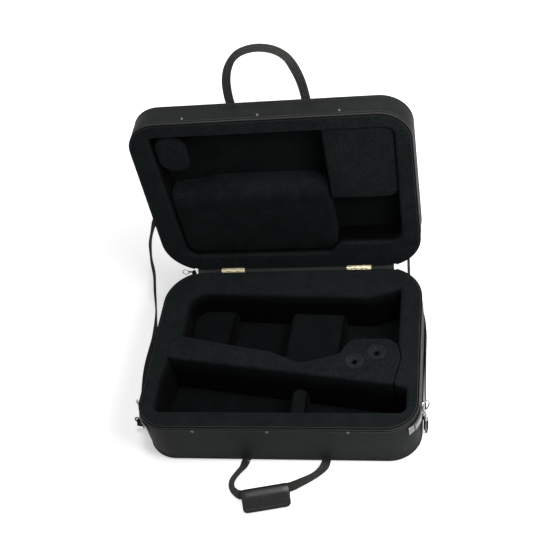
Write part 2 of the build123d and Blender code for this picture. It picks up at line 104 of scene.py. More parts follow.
def sink(mesh, half):
    """Gives a mesh of one half the attribute depth, which sets its painted shade: 0 at the rim, 1 on the
    floor and down the walls.
    """
    depth = mesh.attributes.new("depth", "FLOAT", "POINT")
    up = upward(half)
    for vertex, value in zip(mesh.vertices, depth.data):
        below = HEIGHT["base"] - vertex.co.z * 1000 if half == "base" else vertex.co.y * 1000 - BACK
        wall = 1 - abs(vertex.normal.dot(up))
        value.value = min(1.0, max(0.0, below / HEIGHT[half] * (1 + WALL_PAINTED_SHADE * wall)))


def shade(piece, share):
    """Puts a pad deeper into the painted shade than it lies, or less deep."""
    for value in piece.data.attributes["depth"].data:
        value.value = min(1.0, value.value * share)


def make(name, points, faces, finish, body, uvs=None, sharp=35):
    """A smooth-shaded mesh object from millimetre points, riding on a body."""
    mesh = bpy.data.meshes.new(name)
    mesh.from_pydata([Vector(p) * 0.001 for p in points], [], faces)
    mesh.validate()
    if uvs:
        layer = mesh.uv_layers.new(name="UVMap")
        for loop in mesh.loops:
            layer.data[loop.index].uv = uvs[loop.index]
    shape = bmesh.new()
    shape.from_mesh(mesh)
    bmesh.ops.recalc_face_normals(shape, faces=shape.faces)
    shape.to_mesh(mesh)
    shape.free()
    mesh.polygons.foreach_set("use_smooth", [True] * len(mesh.polygons))
    mesh.set_sharp_from_angle(angle=math.radians(sharp))
    # the plush gets painted shade by its depth
    if finish == "plush":
        sink(mesh, body)
    mesh.materials.append(material(finish))
    piece = bpy.data.objects.new(name, mesh)
    bpy.context.scene.collection.objects.link(piece)
    if body:
        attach(piece, body)
    return piece


def skin(name, rows, finish, body, loop=False, ring=True, sharp=35):
    """A mesh over rows of points: ring closes each row on itself, and loop joins the last row to the
    first. A row of rings that isn't joined gets a face at both ends."""
    count = len(rows[0])
    points = [p for row in rows for p in row]
    along = [0.0]
    for a, b in zip(rows, rows[1:] + rows[:1]):
        along.append(along[-1] + (Vector(b[0]) - Vector(a[0])).length)
    across = [0.0]
    for a, b in zip(rows[0], rows[0][1:] + rows[0][:1]):
        across.append(across[-1] + (Vector(b) - Vector(a)).length)
    faces, uvs = [], []
    for i in range(len(rows) if loop else len(rows) - 1):
        for j in range(count if ring else count - 1):
            i2, j2 = (i + 1) % len(rows), (j + 1) % count
            faces.append((i * count + j, i * count + j2, i2 * count + j2, i2 * count + j))
            uvs += [(along[i], across[j]), (along[i], across[j + 1])]
            uvs += [(along[i + 1], across[j + 1]), (along[i + 1], across[j])]
    if ring and not loop:
        for start in (0, (len(rows) - 1) * count):
            faces.append(tuple(range(start, start + count)))
            uvs += [(0.0, 0.0)] * count
    return make(name, points, faces, finish, body, uvs, sharp)


def strip(first, second, count):
    """Faces between two closed rings of points, each given by the number of its first point."""
    return [(first + k, first + (k + 1) % count, second + (k + 1) % count, second + k) for k in range(count)]


def ripple(x, y, z, size, depth):
    """Smooth unevenness of a hand-covered surface."""
    return depth * noise.noise(Vector((x, y, z)) / size)


def arc_points(centre, radius, first, last, step):
    """Points of an arc between two angles, step degrees apart."""
    turns = max(1, round(abs(last - first) / step))
    angles = [math.radians(first + (last - first) * k / turns) for k in range(turns + 1)]
    return [Vector((centre[0] + radius * math.cos(a), centre[1] + radius * math.sin(a))) for a in angles]


def straight(a, b, step):
    """Points between two ends, without the ends."""
    runs = max(2, round((b - a).length / step))
    return [a.lerp(b, k / runs) for k in range(1, runs)]


def case_path(inset=0.0, whole=True):
    """The case's outline drawn in by inset. It follows the zip from the right rear corner round the
    front to the left rear corner, and whole goes on along the hinges."""
    side, front = WIDTH / 2 - REAR_CORNER, WIDTH / 2 - FRONT_CORNER
    rear_y, front_y = BACK - REAR_CORNER, FRONT_CORNER - BACK
    rear, small = REAR_CORNER - inset, FRONT_CORNER - inset
    path = arc_points((side, rear_y), rear, ZIP_END, 0, 3)
    path += straight(path[-1], Vector((path[-1].x, front_y)), 18)
    path += arc_points((front, front_y), small, 0, -90, 5)
    path += straight(path[-1], Vector((-front, path[-1].y)), 16)
    path += arc_points((-front, front_y), small, -90, -180, 5)
    path += straight(path[-1], Vector((path[-1].x, rear_y)), 18)
    path += arc_points((-side, rear_y), rear, 180, 180 - ZIP_END, 3)
    if whole:
        path += arc_points((-side, rear_y), rear, 180 - ZIP_END - 3, 90, 3)
        path += straight(path[-1], Vector((side, path[-1].y)), 16)
        path += arc_points((side, rear_y), rear, 90, ZIP_END + 3, 3)
    return path


def band(name, half, profile, finish, whole=True, uneven=0.0):
    """A closed profile of (inset, height) points carried round the case."""
    rows = []
    for inset, height in profile:
        row = []
        for q, outer in zip(case_path(inset, whole), case_path(0, whole)):
            h = height(outer) if callable(height) else height
            out = outer.normalized()
            push = ripple(outer.x, outer.y, h * 0.7, 55, uneven) if inset < 0.5 else 0
            row.append(place(half, q.x + out.x * push, q.y + out.y * push, h))
        rows.append(row)
    return skin(name, list(map(list, zip(*rows))), finish, half, loop=whole)


def outline(corners, step=12.0):
    """A closed outline from (x, y, radius) corners, each rounded by its radius."""
    path = []
    for i, (x, y, radius) in enumerate(corners):
        here = Vector((x, y))
        before = Vector(corners[i - 1][:2]) - here
        after = Vector(corners[(i + 1) % len(corners)][:2]) - here
        half = before.angle(after) / 2
        cut = min(radius / math.tan(half), 0.49 * before.length, 0.49 * after.length)
        start, end = here + before.normalized() * cut, here + after.normalized() * cut
        turns = max(2, round(math.degrees(math.pi - 2 * half) / 9))
        middle = here + (before.normalized() + after.normalized()).normalized() * (cut / math.cos(half))
        a, b = start - middle, end - middle
        arc = [middle + a.normalized().slerp(b.normalized(), k / turns) * a.length
               for k in range(turns + 1)]
        if path:
            path += straight(path[-1], arc[0], step)
        path += arc
    return path + straight(path[-1], path[0], step)


def soft_outline(corners, edge):
    """An outline whose corners are wide enough for a rounded edge of that radius."""
    return outline([(x, y, max(radius, edge + 1.5)) for x, y, radius in corners])


def outward(path):
    """The outward direction at each point of a closed outline, lengthened at its corners."""
    area = sum(a.x * b.y - b.x * a.y for a, b in zip(path, path[1:] + path[:1]))
    turn = 1 if area > 0 else -1
    found = []
    for a, b, c in zip(path[-1:] + path[:-1], path, path[1:] + path[:1]):
        n1 = Vector(((b - a).y, -(b - a).x)).normalized() * turn
        n2 = Vector(((c - b).y, -(c - b).x)).normalized() * turn
        both = (n1 + n2).normalized()
        found.append(both / max(0.5, both.dot(n1)))
    return found


def distance(point, path):
    """How far a point is from a closed outline."""
    best = 1e9
    for a, b in zip(path, path[1:] + path[:1]):
        run = b - a
        share = max(0.0, min(1.0, (point - a).dot(run) / max(run.length_squared, 1e-9)))
        best = min(best, (point - a - run * share).length)
    return best


def inside(point, path):
    """Whether a point lies within a closed outline."""
    hit = False
    for a, b in zip(path, path[1:] + path[:1]):
        if (a.y > point.y) != (b.y > point.y):
            crossing = a.x + (point.y - a.y) * (b.x - a.x) / (b.y - a.y)
            hit = hit != (point.x < crossing)
    return hit


def fill(outer, holes, spacing):
    """Triangles between an outline and its holes, over an even grid of points.

    Gives the points, those of the outlines first, each grid point's distance to the outlines, and
    the triangles."""
    loops = [outer] + holes
    points = [p for path in loops for p in path]
    edges, start = [], 0
    for path in loops:
        edges += [(start + k, start + (k + 1) % len(path)) for k in range(len(path))]
        start += len(path)
    away = [0.0] * len(points)
    low = Vector((min(p.x for p in outer), min(p.y for p in outer)))
    high = Vector((max(p.x for p in outer), max(p.y for p in outer)))
    rows = int((high.y - low.y) / (spacing * 0.87))
    for r in range(rows + 1):
        y = low.y + r * spacing * 0.87
        x = low.x + (spacing / 2 if r % 2 else 0)
        while x < high.x:
            p = Vector((x, y))
            x += spacing
            if not inside(p, outer) or any(inside(p, path) for path in holes):
                continue
            near = min(distance(p, path) for path in loops)
            if near > spacing * 0.45:
                points.append(p)
                away.append(near)
    verts, _, faces, origin, _, _ = delaunay_2d_cdt(points, edges, [], 0, 1e-4)
    crossed = [tuple(v) for v, o in zip(verts, origin) if len(o) != 1]
    if crossed:
        raise RuntimeError(f"an outline touches itself at {crossed[:6]}")
    kept = []
    for face in faces:
        face = [origin[k][0] for k in face]
        a, b, c = (points[k] for k in face)
        middle = (a + b + c) / 3
        if abs((b - a).cross(c - a)) < 0.02 * spacing:
            continue  # a sliver between points in line
        if inside(middle, outer) and not any(inside(middle, path) for path in holes):
            kept.append(face)
    return points, away, kept


def rounding(path, edge, top, low, out):
    """Rings from the side of a block over its rounded edge to its top: (points, height) each.
    out is 1 where the edge leans into the outline, and -1 where it leans out of it."""
    normals = outward(path)
    side = 1 if top > low else -1
    rings = []
    for k in range(6):
        a = math.radians(18 * k)
        ring = []
        for p, n in zip(path, normals):
            radius = edge(p) if callable(edge) else edge
            lean = radius * (1 - math.cos(a))
            h = top - side * radius * (1 - math.sin(a))
            ring.append((p - n * lean * out, h))
        rings.append(ring)
    return rings


def soft_block(name, half, path, low, top, edge, finish, crown=0.0, uneven=0.0, spacing=11.0, dip=None,
               holes=()):
    """A padded block: straight sides, a rounded edge and a crowned, slightly uneven top.

    dip lowers the top as a function of a point, and holes are outlines left open in the top."""
    rings = rounding(path, edge, top, low, 1)
    side = 1 if top > low else -1
    reach = 30.0  # how far from the edges the crown goes on rising

    def height(p, h, away):
        """Where a point meant for height h comes to lie, at a distance away from the block's edges."""
        share = (h - low) / (top - low)
        lift = crown * (1 - (1 - min(1.0, away / reach)) ** 2)
        lower = dip(p) * share if dip else 0.0
        return h + side * (lift - lower) + side * ripple(p.x, p.y, top, 26, uneven) * share * share

    steps = [low, low + (rings[0][0][1] - low) * 0.5]
    points = [place(half, p.x, p.y, height(p, h, 0)) for h in steps for p in path]
    for ring in rings[:-1]:
        points += [place(half, p.x, p.y, height(p, h, 0)) for p, h in ring]
    levels = len(steps) + len(rings) - 1
    n = len(path)
    faces = [tuple(range(n))]
    inner = [p for p, _ in rings[-1]]
    flat, away, triangles = fill(inner, list(holes), spacing)
    first = levels * n
    points += [place(half, p.x, p.y, height(p, top, d)) for p, d in zip(flat, away)]
    for level in range(levels):
        faces += strip(level * n, (level + 1) * n, n)
    faces += [tuple(first + k for k in face) for face in triangles]
    return make(name, points, faces, finish, half, sharp=50)


def ribbon(name, centres, widths, finish, body, thickness=2.4, smooth=10):
    """Webbing along a smooth line. widths holds (direction, width) at each centre."""
    path, across = flow(centres, smooth), flow([Vector(d).normalized() * w for d, w in widths], smooth)
    rows = []
    for p, w, t in zip(path, across, tangents(path)):
        half, thick = w.length / 2, thickness / 2
        w = (w - t * w.dot(t)).normalized()
        n = t.cross(w)
        section = mirrored([(half, 0), (half - thick * 0.5, thick * 0.85), (half - thick * 1.6, thick),
                            (0, thick * 0.94)])
        rows.append([p + w * x + n * y for x, y in section])
    return skin(name, rows, finish, body)


def mirrored(quarter):
    """A closed section from one quarter of it, which goes from its side to its middle."""
    upper = quarter + [(-x, y) for x, y in reversed(quarter[:-1])]
    return upper + [(x, -y) for x, y in reversed(upper[1:-1])]


def flow(points, smooth):
    """A smooth line through the points."""
    points = [Vector(p) for p in points]
    found = []
    for i in range(len(points) - 1):
        a, b = points[max(i - 1, 0)], points[i]
        c, d = points[i + 1], points[min(i + 2, len(points) - 1)]
        for k in range(smooth):
            t = k / smooth
            found.append(0.5 * (2 * b + (c - a) * t + (2 * a - 5 * b + 4 * c - d) * t * t
                                + (3 * b - a - 3 * c + d) * t * t * t))
    return found + [points[-1]]


def tangents(line):
    """The direction of a line at each of its points."""
    before, after = line[:1] + line[:-1], line[1:] + line[-1:]
    return [(b - a).normalized() for a, b in zip(before, after)]


def walk(path, pitch, closed=False):
    """Places at an even pitch along a line: (point, direction) each."""
    ends = path[1:] + (path[:1] if closed else [])
    found, left = [], 0.0
    for a, b in zip(path, ends):
        run = (b - a).length
        while left <= run and run > 0:
            found.append((a.lerp(b, left / run), (b - a) / run))
            left += pitch
        left -= run
    return found


def lathe(name, centre, axis, profile, finish, body, turns=40):
    """A turned piece from (radius, height) points."""
    axis = Vector(axis).normalized()
    u = axis.orthogonal().normalized()
    v = axis.cross(u)
    centre = Vector(centre)
    rows = []
    for k in range(turns):
        a = 2 * math.pi * k / turns
        out = u * math.cos(a) + v * math.sin(a)
        rows.append([centre + out * r + axis * h for r, h in profile])
    return skin(name, rows, finish, body, loop=True, ring=False, sharp=40)


def stitches(name, places, finish, body, length=2.8, radius=0.32):
    """Short raised threads: each place is (point, direction, normal)."""
    points, faces = [], []
    for p, t, n in places:
        s = t.cross(n).normalized()
        first = len(points)
        for at, size in ((-0.5, 0.25), (-0.3, 1.0), (0.3, 1.0), (0.5, 0.25)):
            for k in range(5):
                a = 2 * math.pi * k / 5
                lift = n * (math.sin(a) * size + 0.35 * size) + s * math.cos(a) * size
                points.append(p + t * (at * length) + lift * radius)
        for ring in (first, first + 5, first + 10):
            faces += strip(ring, ring + 5, 5)
        faces += [tuple(range(first, first + 5)), tuple(range(first + 15, first + 20))]
    return make(name, points, faces, finish, body)


# Shader node groups that several finishes share

def group(name, inputs, outputs):
    """A node group with its named sockets, and its input and output nodes."""
    tree = bpy.data.node_groups.new(name, "ShaderNodeTree")
    for label, kind, value in inputs:
        tree.interface.new_socket(label, in_out="INPUT", socket_type=kind).default_value = value
    for label in outputs:
        tree.interface.new_socket(label, in_out="OUTPUT", socket_type="NodeSocketFloat")
    return tree, tree.nodes.new("NodeGroupInput"), tree.nodes.new("NodeGroupOutput")


def add(tree, kind, links=(), **settings):
    """A node with its settings, and its inputs linked or set."""
    node = tree.nodes.new(kind)
    for key, value in settings.items():
        setattr(node, key, value)
    for socket, value in dict(links).items():
        if isinstance(value, bpy.types.NodeSocket):
            tree.links.new(value, node.inputs[socket])
        else:
            node.inputs[socket].default_value = value
    return node


def math_node(tree, operation, a, b=0.0, c=0.0):
    """The result of a calculation with numbers or sockets."""
    return add(tree, "ShaderNodeMath", {0: a, 1: b, 2: c}, operation=operation).outputs[0]


def speckle(tree, where, scale, **inputs):
    """A noise texture's value."""
    return add(tree, "ShaderNodeTexNoise", {"Vector": where, "Scale": scale, **inputs}).outputs["Fac"]


def remap(tree, value, old, new=(0.0, 1.0), kind="LINEAR"):
    """A value carried from its old range to a new one."""
    inputs = {"Value": value, "From Min": old[0], "From Max": old[1], "To Min": new[0], "To Max": new[1]}
    return add(tree, "ShaderNodeMapRange", inputs, interpolation_type=kind).outputs["Result"]


def mix(tree, share, first, second, kind="MIX"):
    """Two colours mixed, or one multiplied by the other. Each is three numbers or a socket."""
    first, second = (c if isinstance(c, bpy.types.NodeSocket) else (*c, 1) for c in (first, second))
    inputs = {0: share, 6: first, 7: second}
    return add(tree, "ShaderNodeMix", inputs, data_type="RGBA", blend_type=kind).outputs[2]


def leather_grain():
    """Pebbled grain with creases between the pebbles, and a slow change of tone."""
    if "Leather grain" in bpy.data.node_groups:
        return bpy.data.node_groups["Leather grain"]
    tree, start, end = group("Leather grain", [("Scale", "NodeSocketFloat", 700.0)], ["Height", "Tone"])
    where = add(tree, "ShaderNodeTexCoord").outputs["Object"]
    size = start.outputs["Scale"]
    coarse = math_node(tree, "MULTIPLY", size, 0.3)
    warp = add(tree, "ShaderNodeTexNoise", {"Vector": where, "Scale": coarse}).outputs["Color"]
    bent = add(tree, "ShaderNodeMix", {0: 0.004, 4: where, 5: warp}, data_type="VECTOR")
    cells = add(tree, "ShaderNodeTexVoronoi", {"Vector": bent.outputs[1], "Scale": size},
                feature="DISTANCE_TO_EDGE")
    pebble = remap(tree, cells.outputs["Distance"], (0.0, 0.28), kind="SMOOTHSTEP")
    fine = speckle(tree, where, math_node(tree, "MULTIPLY", size, 3.0))
    slow = speckle(tree, where, 9.0, Detail=4.0)
    tone = math_node(tree, "MULTIPLY_ADD", pebble, 0.35, slow)
    tree.links.new(math_node(tree, "MULTIPLY_ADD", fine, 0.3, pebble), end.inputs["Height"])
    tree.links.new(math_node(tree, "MULTIPLY", tone, 0.75), end.inputs["Tone"])
    return tree


def plush_pile():
    """Short pile: tufts, clumps of them, and patches where it has been brushed the other way."""
    if "Plush pile" in bpy.data.node_groups:
        return bpy.data.node_groups["Plush pile"]
    tree, start, end = group("Plush pile", [("Scale", "NodeSocketFloat", 420.0)], ["Height", "Tone"])
    where = add(tree, "ShaderNodeTexCoord").outputs["Object"]
    size = start.outputs["Scale"]
    tufts = speckle(tree, where, math_node(tree, "MULTIPLY", size, 3.0))
    clumps = speckle(tree, where, size, Detail=3.0, Roughness=0.7)
    brushed = speckle(tree, where, 16.0, Detail=4.0, Distortion=1.4)
    spread = math_node(tree, "MULTIPLY", remap(tree, clumps, (0.3, 0.7)), 0.8)
    tone = math_node(tree, "MULTIPLY_ADD", remap(tree, brushed, (0.32, 0.68)), 0.2, spread)
    tree.links.new(math_node(tree, "MULTIPLY_ADD", clumps, 1.4, tufts), end.inputs["Height"])
    tree.links.new(tone, end.inputs["Tone"])
    return tree


def weave():
    """Woven webbing over the mesh's own lengths: ribs along it, with threads crossing them."""
    if "Weave" in bpy.data.node_groups:
        return bpy.data.node_groups["Weave"]
    tree, start, end = group("Weave", [("Rib", "NodeSocketFloat", 1.6), ("Thread", "NodeSocketFloat", 1.2)],
                             ["Height", "Tone"])
    where = add(tree, "ShaderNodeUVMap", uv_map="UVMap").outputs[0]
    parts = add(tree, "ShaderNodeSeparateXYZ", {0: where})
    u, v = (math_node(tree, "DIVIDE", math_node(tree, "MULTIPLY", along, 2 * math.pi), start.outputs[pitch])
            for along, pitch in zip(parts.outputs, ("Thread", "Rib")))
    slant = math_node(tree, "SINE", math_node(tree, "ADD", u, math_node(tree, "MULTIPLY", v, 0.5)))
    ribs = math_node(tree, "SINE", v)
    height = math_node(tree, "MULTIPLY_ADD", slant, math_node(tree, "MULTIPLY_ADD", ribs, 0.3, 0.5), ribs)
    tone = math_node(tree, "MULTIPLY_ADD", height, 0.28, speckle(tree, where, 0.35, Detail=3.0))
    tree.links.new(height, end.inputs["Height"])
    tree.links.new(tone, end.inputs["Tone"])
    return tree


def scuffs():
    """Faint rubbed spots and dust, as a tone of 0 where it is clean."""
    if "Scuffs" in bpy.data.node_groups:
        return bpy.data.node_groups["Scuffs"]
    tree, start, end = group("Scuffs", [("Amount", "NodeSocketFloat", 0.5)], ["Tone"])
    where = add(tree, "ShaderNodeTexCoord").outputs["Object"]
    broad = speckle(tree, where, 22.0, Detail=6.0, Roughness=0.65)
    spots = remap(tree, math_node(tree, "MULTIPLY", broad, speckle(tree, where, 260.0)), (0.27, 0.42))
    tree.links.new(math_node(tree, "MULTIPLY", spots, start.outputs["Amount"]), end.inputs["Tone"])
    return tree


# Finishes. Each is (colour property, texture group, its inputs, tone spread, roughness low and high,
# bump strength and depth in metres, scuffs, other sockets of the surface shader)
FINISHES = {
    "leatherette": ("leatherette", leather_grain, {"Scale": 620.0}, 1.1, (0.42, 0.6), (0.6, 0.0004), 0.12,
                    {"Specular IOR Level": 0.05}),
    "piping": ("leatherette", leather_grain, {"Scale": 900.0}, 0.2, (0.3, 0.42), (0.25, 0.0002), 0.1,
               {"Specular IOR Level": 0.15}),
    "plush": ("plush", plush_pile, {"Scale": 420.0}, 1.7, (0.9, 1.0), (0.9, 0.0009), 0.05,
              {"Sheen Weight": 0.008, "Sheen Roughness": 0.5, "Specular IOR Level": 0.03}),
    # painted light: the collars' plush is drawn lighter than the rest of the lining
    "socket_plush_painted_light": ("socket_plush_painted_light", plush_pile, {"Scale": 420.0}, 1.7, (0.9, 1.0), (0.9, 0.0009), 0.05,
                     {"Sheen Weight": 0.008, "Sheen Roughness": 0.5, "Specular IOR Level": 0.03}),
    "webbing": ("webbing", weave, {"Rib": 4.6, "Thread": 2.6}, 1.7, (0.7, 0.85), (1.0, 0.0012), 0.2,
                {"Sheen Weight": 0.05, "Specular IOR Level": 0.2}),
    "strap": ("strap", weave, {"Rib": 4.6, "Thread": 2.6}, 1.5, (0.7, 0.85), (1.0, 0.0012), 0.1,
              {"Sheen Weight": 0.03, "Specular IOR Level": 0.1}),
    "zip_tape": ("zip_tape", weave, {"Rib": 0.7, "Thread": 0.7}, 0.5, (0.6, 0.75), (0.4, 0.0002), 0.1,
                 {"Specular IOR Level": 0.1}),
    "zip_teeth": ("zip_teeth", leather_grain, {"Scale": 300.0}, 0.2, (0.5, 0.6), (0.1, 0.0001), 0.0,
                  {"Specular IOR Level": 0.05}),
    "grip_leather": ("grip_leather", leather_grain, {"Scale": 820.0}, 0.3, (0.2, 0.3), (0.15, 0.0002), 0.1,
                     {"Specular IOR Level": 0.25}),
    # painted highlight: the tabs' leather is drawn light grey for the sheen on it
    "tab_leather_painted_highlight": ("tab_leather_painted_highlight", leather_grain, {"Scale": 820.0}, 0.3, (0.12, 0.22), (0.1, 0.0001), 0.1,
                    {"Specular IOR Level": 1.0}),
    "thread": ("thread", weave, {"Rib": 0.5, "Thread": 0.6}, 0.3, (0.6, 0.7), (0.2, 0.0001), 0.0, {}),
    "plywood": ("shell", leather_grain, {"Scale": 90.0}, 0.2, (0.7, 0.8), (0.2, 0.0002), 0.0, {}),
    "socket": ("zip_teeth", leather_grain, {"Scale": 1500.0}, 0.2, (0.4, 0.5), (0.2, 0.0001), 0.0,
               {"Specular IOR Level": 0.3}),
    "nickel": ("nickel", scuffs, {"Amount": 1.0}, 0.15, (0.16, 0.32), (0.05, 0.0001), 0.0,
               {"Metallic": 1.0}),
    "dark_metal": ("dark_metal", scuffs, {"Amount": 1.0}, 0.3, (0.25, 0.4), (0.05, 0.0001), 0.0,
                   {"Metallic": 1.0}),
    "hinge_metal": ("hinge_metal", scuffs, {"Amount": 1.0}, 0.2, (0.24, 0.4), (0.05, 0.0001), 0.0,
                    {"Metallic": 1.0}),
}


def material(name):
    """The finish of that name, made when it is first asked for."""
    label = f"{name} finish"
    if label in bpy.data.materials:
        return bpy.data.materials[label]
    colour, texture, inputs, spread, rough, bump, worn, sockets = FINISHES[name]
    base = Vector(getattr(bpy.context.scene.case_colours, colour))
    made = bpy.data.materials.new(label)
    made.use_nodes = True
    tree = made.node_tree
    shader = tree.nodes["Principled BSDF"]
    detail = add(tree, "ShaderNodeGroup", inputs, node_tree=texture())
    tone = detail.outputs["Tone"]
    result = mix(tree, tone, base * (1 - spread / 2), base * (1 + spread / 2))
    if worn:
        result = dusted(tree, result, base, worn)
    # painted shade: the lining is drawn darker the deeper it lies in its half
    if name == "plush":
        result = with_painted_shade(tree, result)
    tree.links.new(result, shader.inputs["Base Color"])
    tree.links.new(remap(tree, tone, (0.0, 1.0), rough), shader.inputs["Roughness"])
    relief = detail.outputs["Height"] if "Height" in detail.outputs else tone
    raised = add(tree, "ShaderNodeBump", {"Height": relief, "Strength": bump[0], "Distance": bump[1]})
    tree.links.new(raised.outputs["Normal"], shader.inputs["Normal"])
    for key, value in sockets.items():
        shader.inputs[key].default_value = value
    return made


def dusted(tree, result, base, worn):
    """The colour with rubbed spots and dust on it."""
    rubbed = add(tree, "ShaderNodeGroup", {"Amount": worn}, node_tree=scuffs())
    return mix(tree, rubbed.outputs["Tone"], result, [c * 0.6 + 0.07 for c in base])


def with_painted_shade(tree, result):
    """The colour made darker with the plush's depth in its half: painted shade in the wells and down their
    walls.
    """
    deep = bpy.context.scene.case_colours.plush_painted_shade
    below = add(tree, "ShaderNodeAttribute", attribute_name="depth", attribute_type="GEOMETRY")
    kept = remap(tree, below.outputs["Fac"], (0.0, 1.0), (1.0, deep), "SMOOTHSTEP")
    return mix(tree, 1.0, result, kept, "MULTIPLY")


def finish_node(finish, *names):
    """Gives CAD nodes that stay in view their finish."""
    for name in names:
        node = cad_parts[name]
        node.data.materials.clear()
        node.data.materials.append(material(finish))


# Property groups

def size(name, value, description, low=0.0):
    """A size in millimetres."""
    return bpy.props.FloatProperty(name=name, default=value, min=low, description=description)


def colour(name, value, description):
    """A colour in linear light."""
    return bpy.props.FloatVectorProperty(
        name=name, default=value, min=0, max=1, subtype="COLOR", description=description)


class CaseSizes(bpy.types.PropertyGroup):
    """Sizes of the soft pieces, in millimetres."""
    wall_bulge: size("Wall bulge", 0.8, "How far the padding pushes the side covers out")
    well_edge: size("Well edge", 9.0, "Radius of the soft edge of the wells")
    seam_edge: size("Seam edge", 1.8, "Radius of the lining's edge beside the divider's ends")
    block_edge: size("Block edge", 8.0, "Radius of the blocks' edges")
    pile_unevenness: size("Pile unevenness", 0.9, "Depth of the unevenness of the plush")
    tooth_pitch: size("Tooth pitch", 1.7, "Distance between two teeth of the zip", 0.5)
    stitch_pitch: size("Stitch pitch", 4.2, "Distance between two stitches", 1.0)
    handle_webbing: size("Handle webbing", 19.0, "Width of the handles' webbing", 5.0)
    strap_webbing: size("Strap webbing", 25.0, "Width of the shoulder strap", 5.0)


class CaseColours(bpy.types.PropertyGroup):
    """Colours of the finishes."""
    leatherette: colour("Leatherette", (0.0165, 0.0180, 0.0183), "Covers of both halves")
    plush: colour("Plush", (0.0100, 0.0127, 0.0136), "Lining, divider, blocks and pads")
    # painted light: lighter than the plush, for the lit rims of the collars
    socket_plush_painted_light: colour("Socket plush", (0.0170, 0.0210, 0.0220), "Collars of the mouthpiece sockets")
    # painted shade: how bright the plush is drawn on the floors and walls of the wells
    plush_painted_shade: bpy.props.FloatProperty(
        name="Deep plush", default=0.05, min=0, max=1, subtype="FACTOR",
        description="Brightness of the plush on the floors and walls")
    webbing: colour("Webbing", (0.038, 0.040, 0.036), "Webbing of both handles")
    strap: colour("Strap", (0.013, 0.0135, 0.0125), "Webbing of the shoulder strap")
    zip_tape: colour("Zip tape", (0.034, 0.035, 0.036), "Tape of the zip")
    zip_teeth: colour("Zip teeth", (0.004, 0.004, 0.004), "Teeth of the zip")
    grip_leather: colour("Grip leather", (0.0075, 0.008, 0.009), "Leather of the grip and of the patches")
    # painted highlight: light grey for the sheen on the dark leather of the tabs
    tab_leather_painted_highlight: colour("Tab leather", (0.09, 0.09, 0.092), "Glossy leather of the corner tabs")
    thread: colour("Thread", (0.085, 0.084, 0.08), "Stitching")
    shell: colour("Shell", (0.020, 0.020, 0.020), "Edge of the shell under the covers")
    nickel: colour("Nickel", (0.46, 0.46, 0.45), "Rings, hooks and zip slider")
    dark_metal: colour("Dark metal", (0.15, 0.15, 0.147), "Rivets of the walls and eyes of the hooks")
    hinge_metal: colour("Hinge metal", (0.80, 0.74, 0.58), "Hinges")
    floor: colour("Floor", (0.82, 0.82, 0.82), "Floor round the case")


# Stage

LENS = 65.503
CAMERA_AT = (0.41869, -1.33111, 1.78939)
CAMERA_YAW = 0.2876
CAMERA_DOWN = 0.8136
CAMERA_ROLL = -0.2327
SURROUNDINGS = 0.13  # strength of the white world on the case
PAINTED_SHADOW_CENTRE = (-0.28, 0.05, 0)  # the middle of the shadow painted on the floor, in metres
PAINTED_SHADOW_REACH = (0.2, 1.1)  # how far from there the painted shadow starts to fade, and where it ends
PAINTED_SHADOW_GLOW = 0.5  # the floor's own light in the painted shadow's middle


def lamp(name, at, target, size_m, power):
    """A white panel of light that the camera doesn't see, of that power in watts."""
    light = bpy.data.lights.new(name, "AREA")
    light.shape = "RECTANGLE"
    light.size, light.size_y = size_m
    light.energy = power
    holder = bpy.data.objects.new(name, light)
    bpy.context.scene.collection.objects.link(holder)
    holder.location = at
    holder.rotation_euler = (Vector(target) - Vector(at)).to_track_quat("-Z", "Y").to_euler()
    holder.visible_camera = False
    return holder


def seen(tree):
    """1 for what the camera sees, directly or in a reflection."""
    ray = add(tree, "ShaderNodeLightPath")
    return math_node(tree, "MAXIMUM", ray.outputs["Is Camera Ray"], ray.outputs["Is Glossy Ray"])


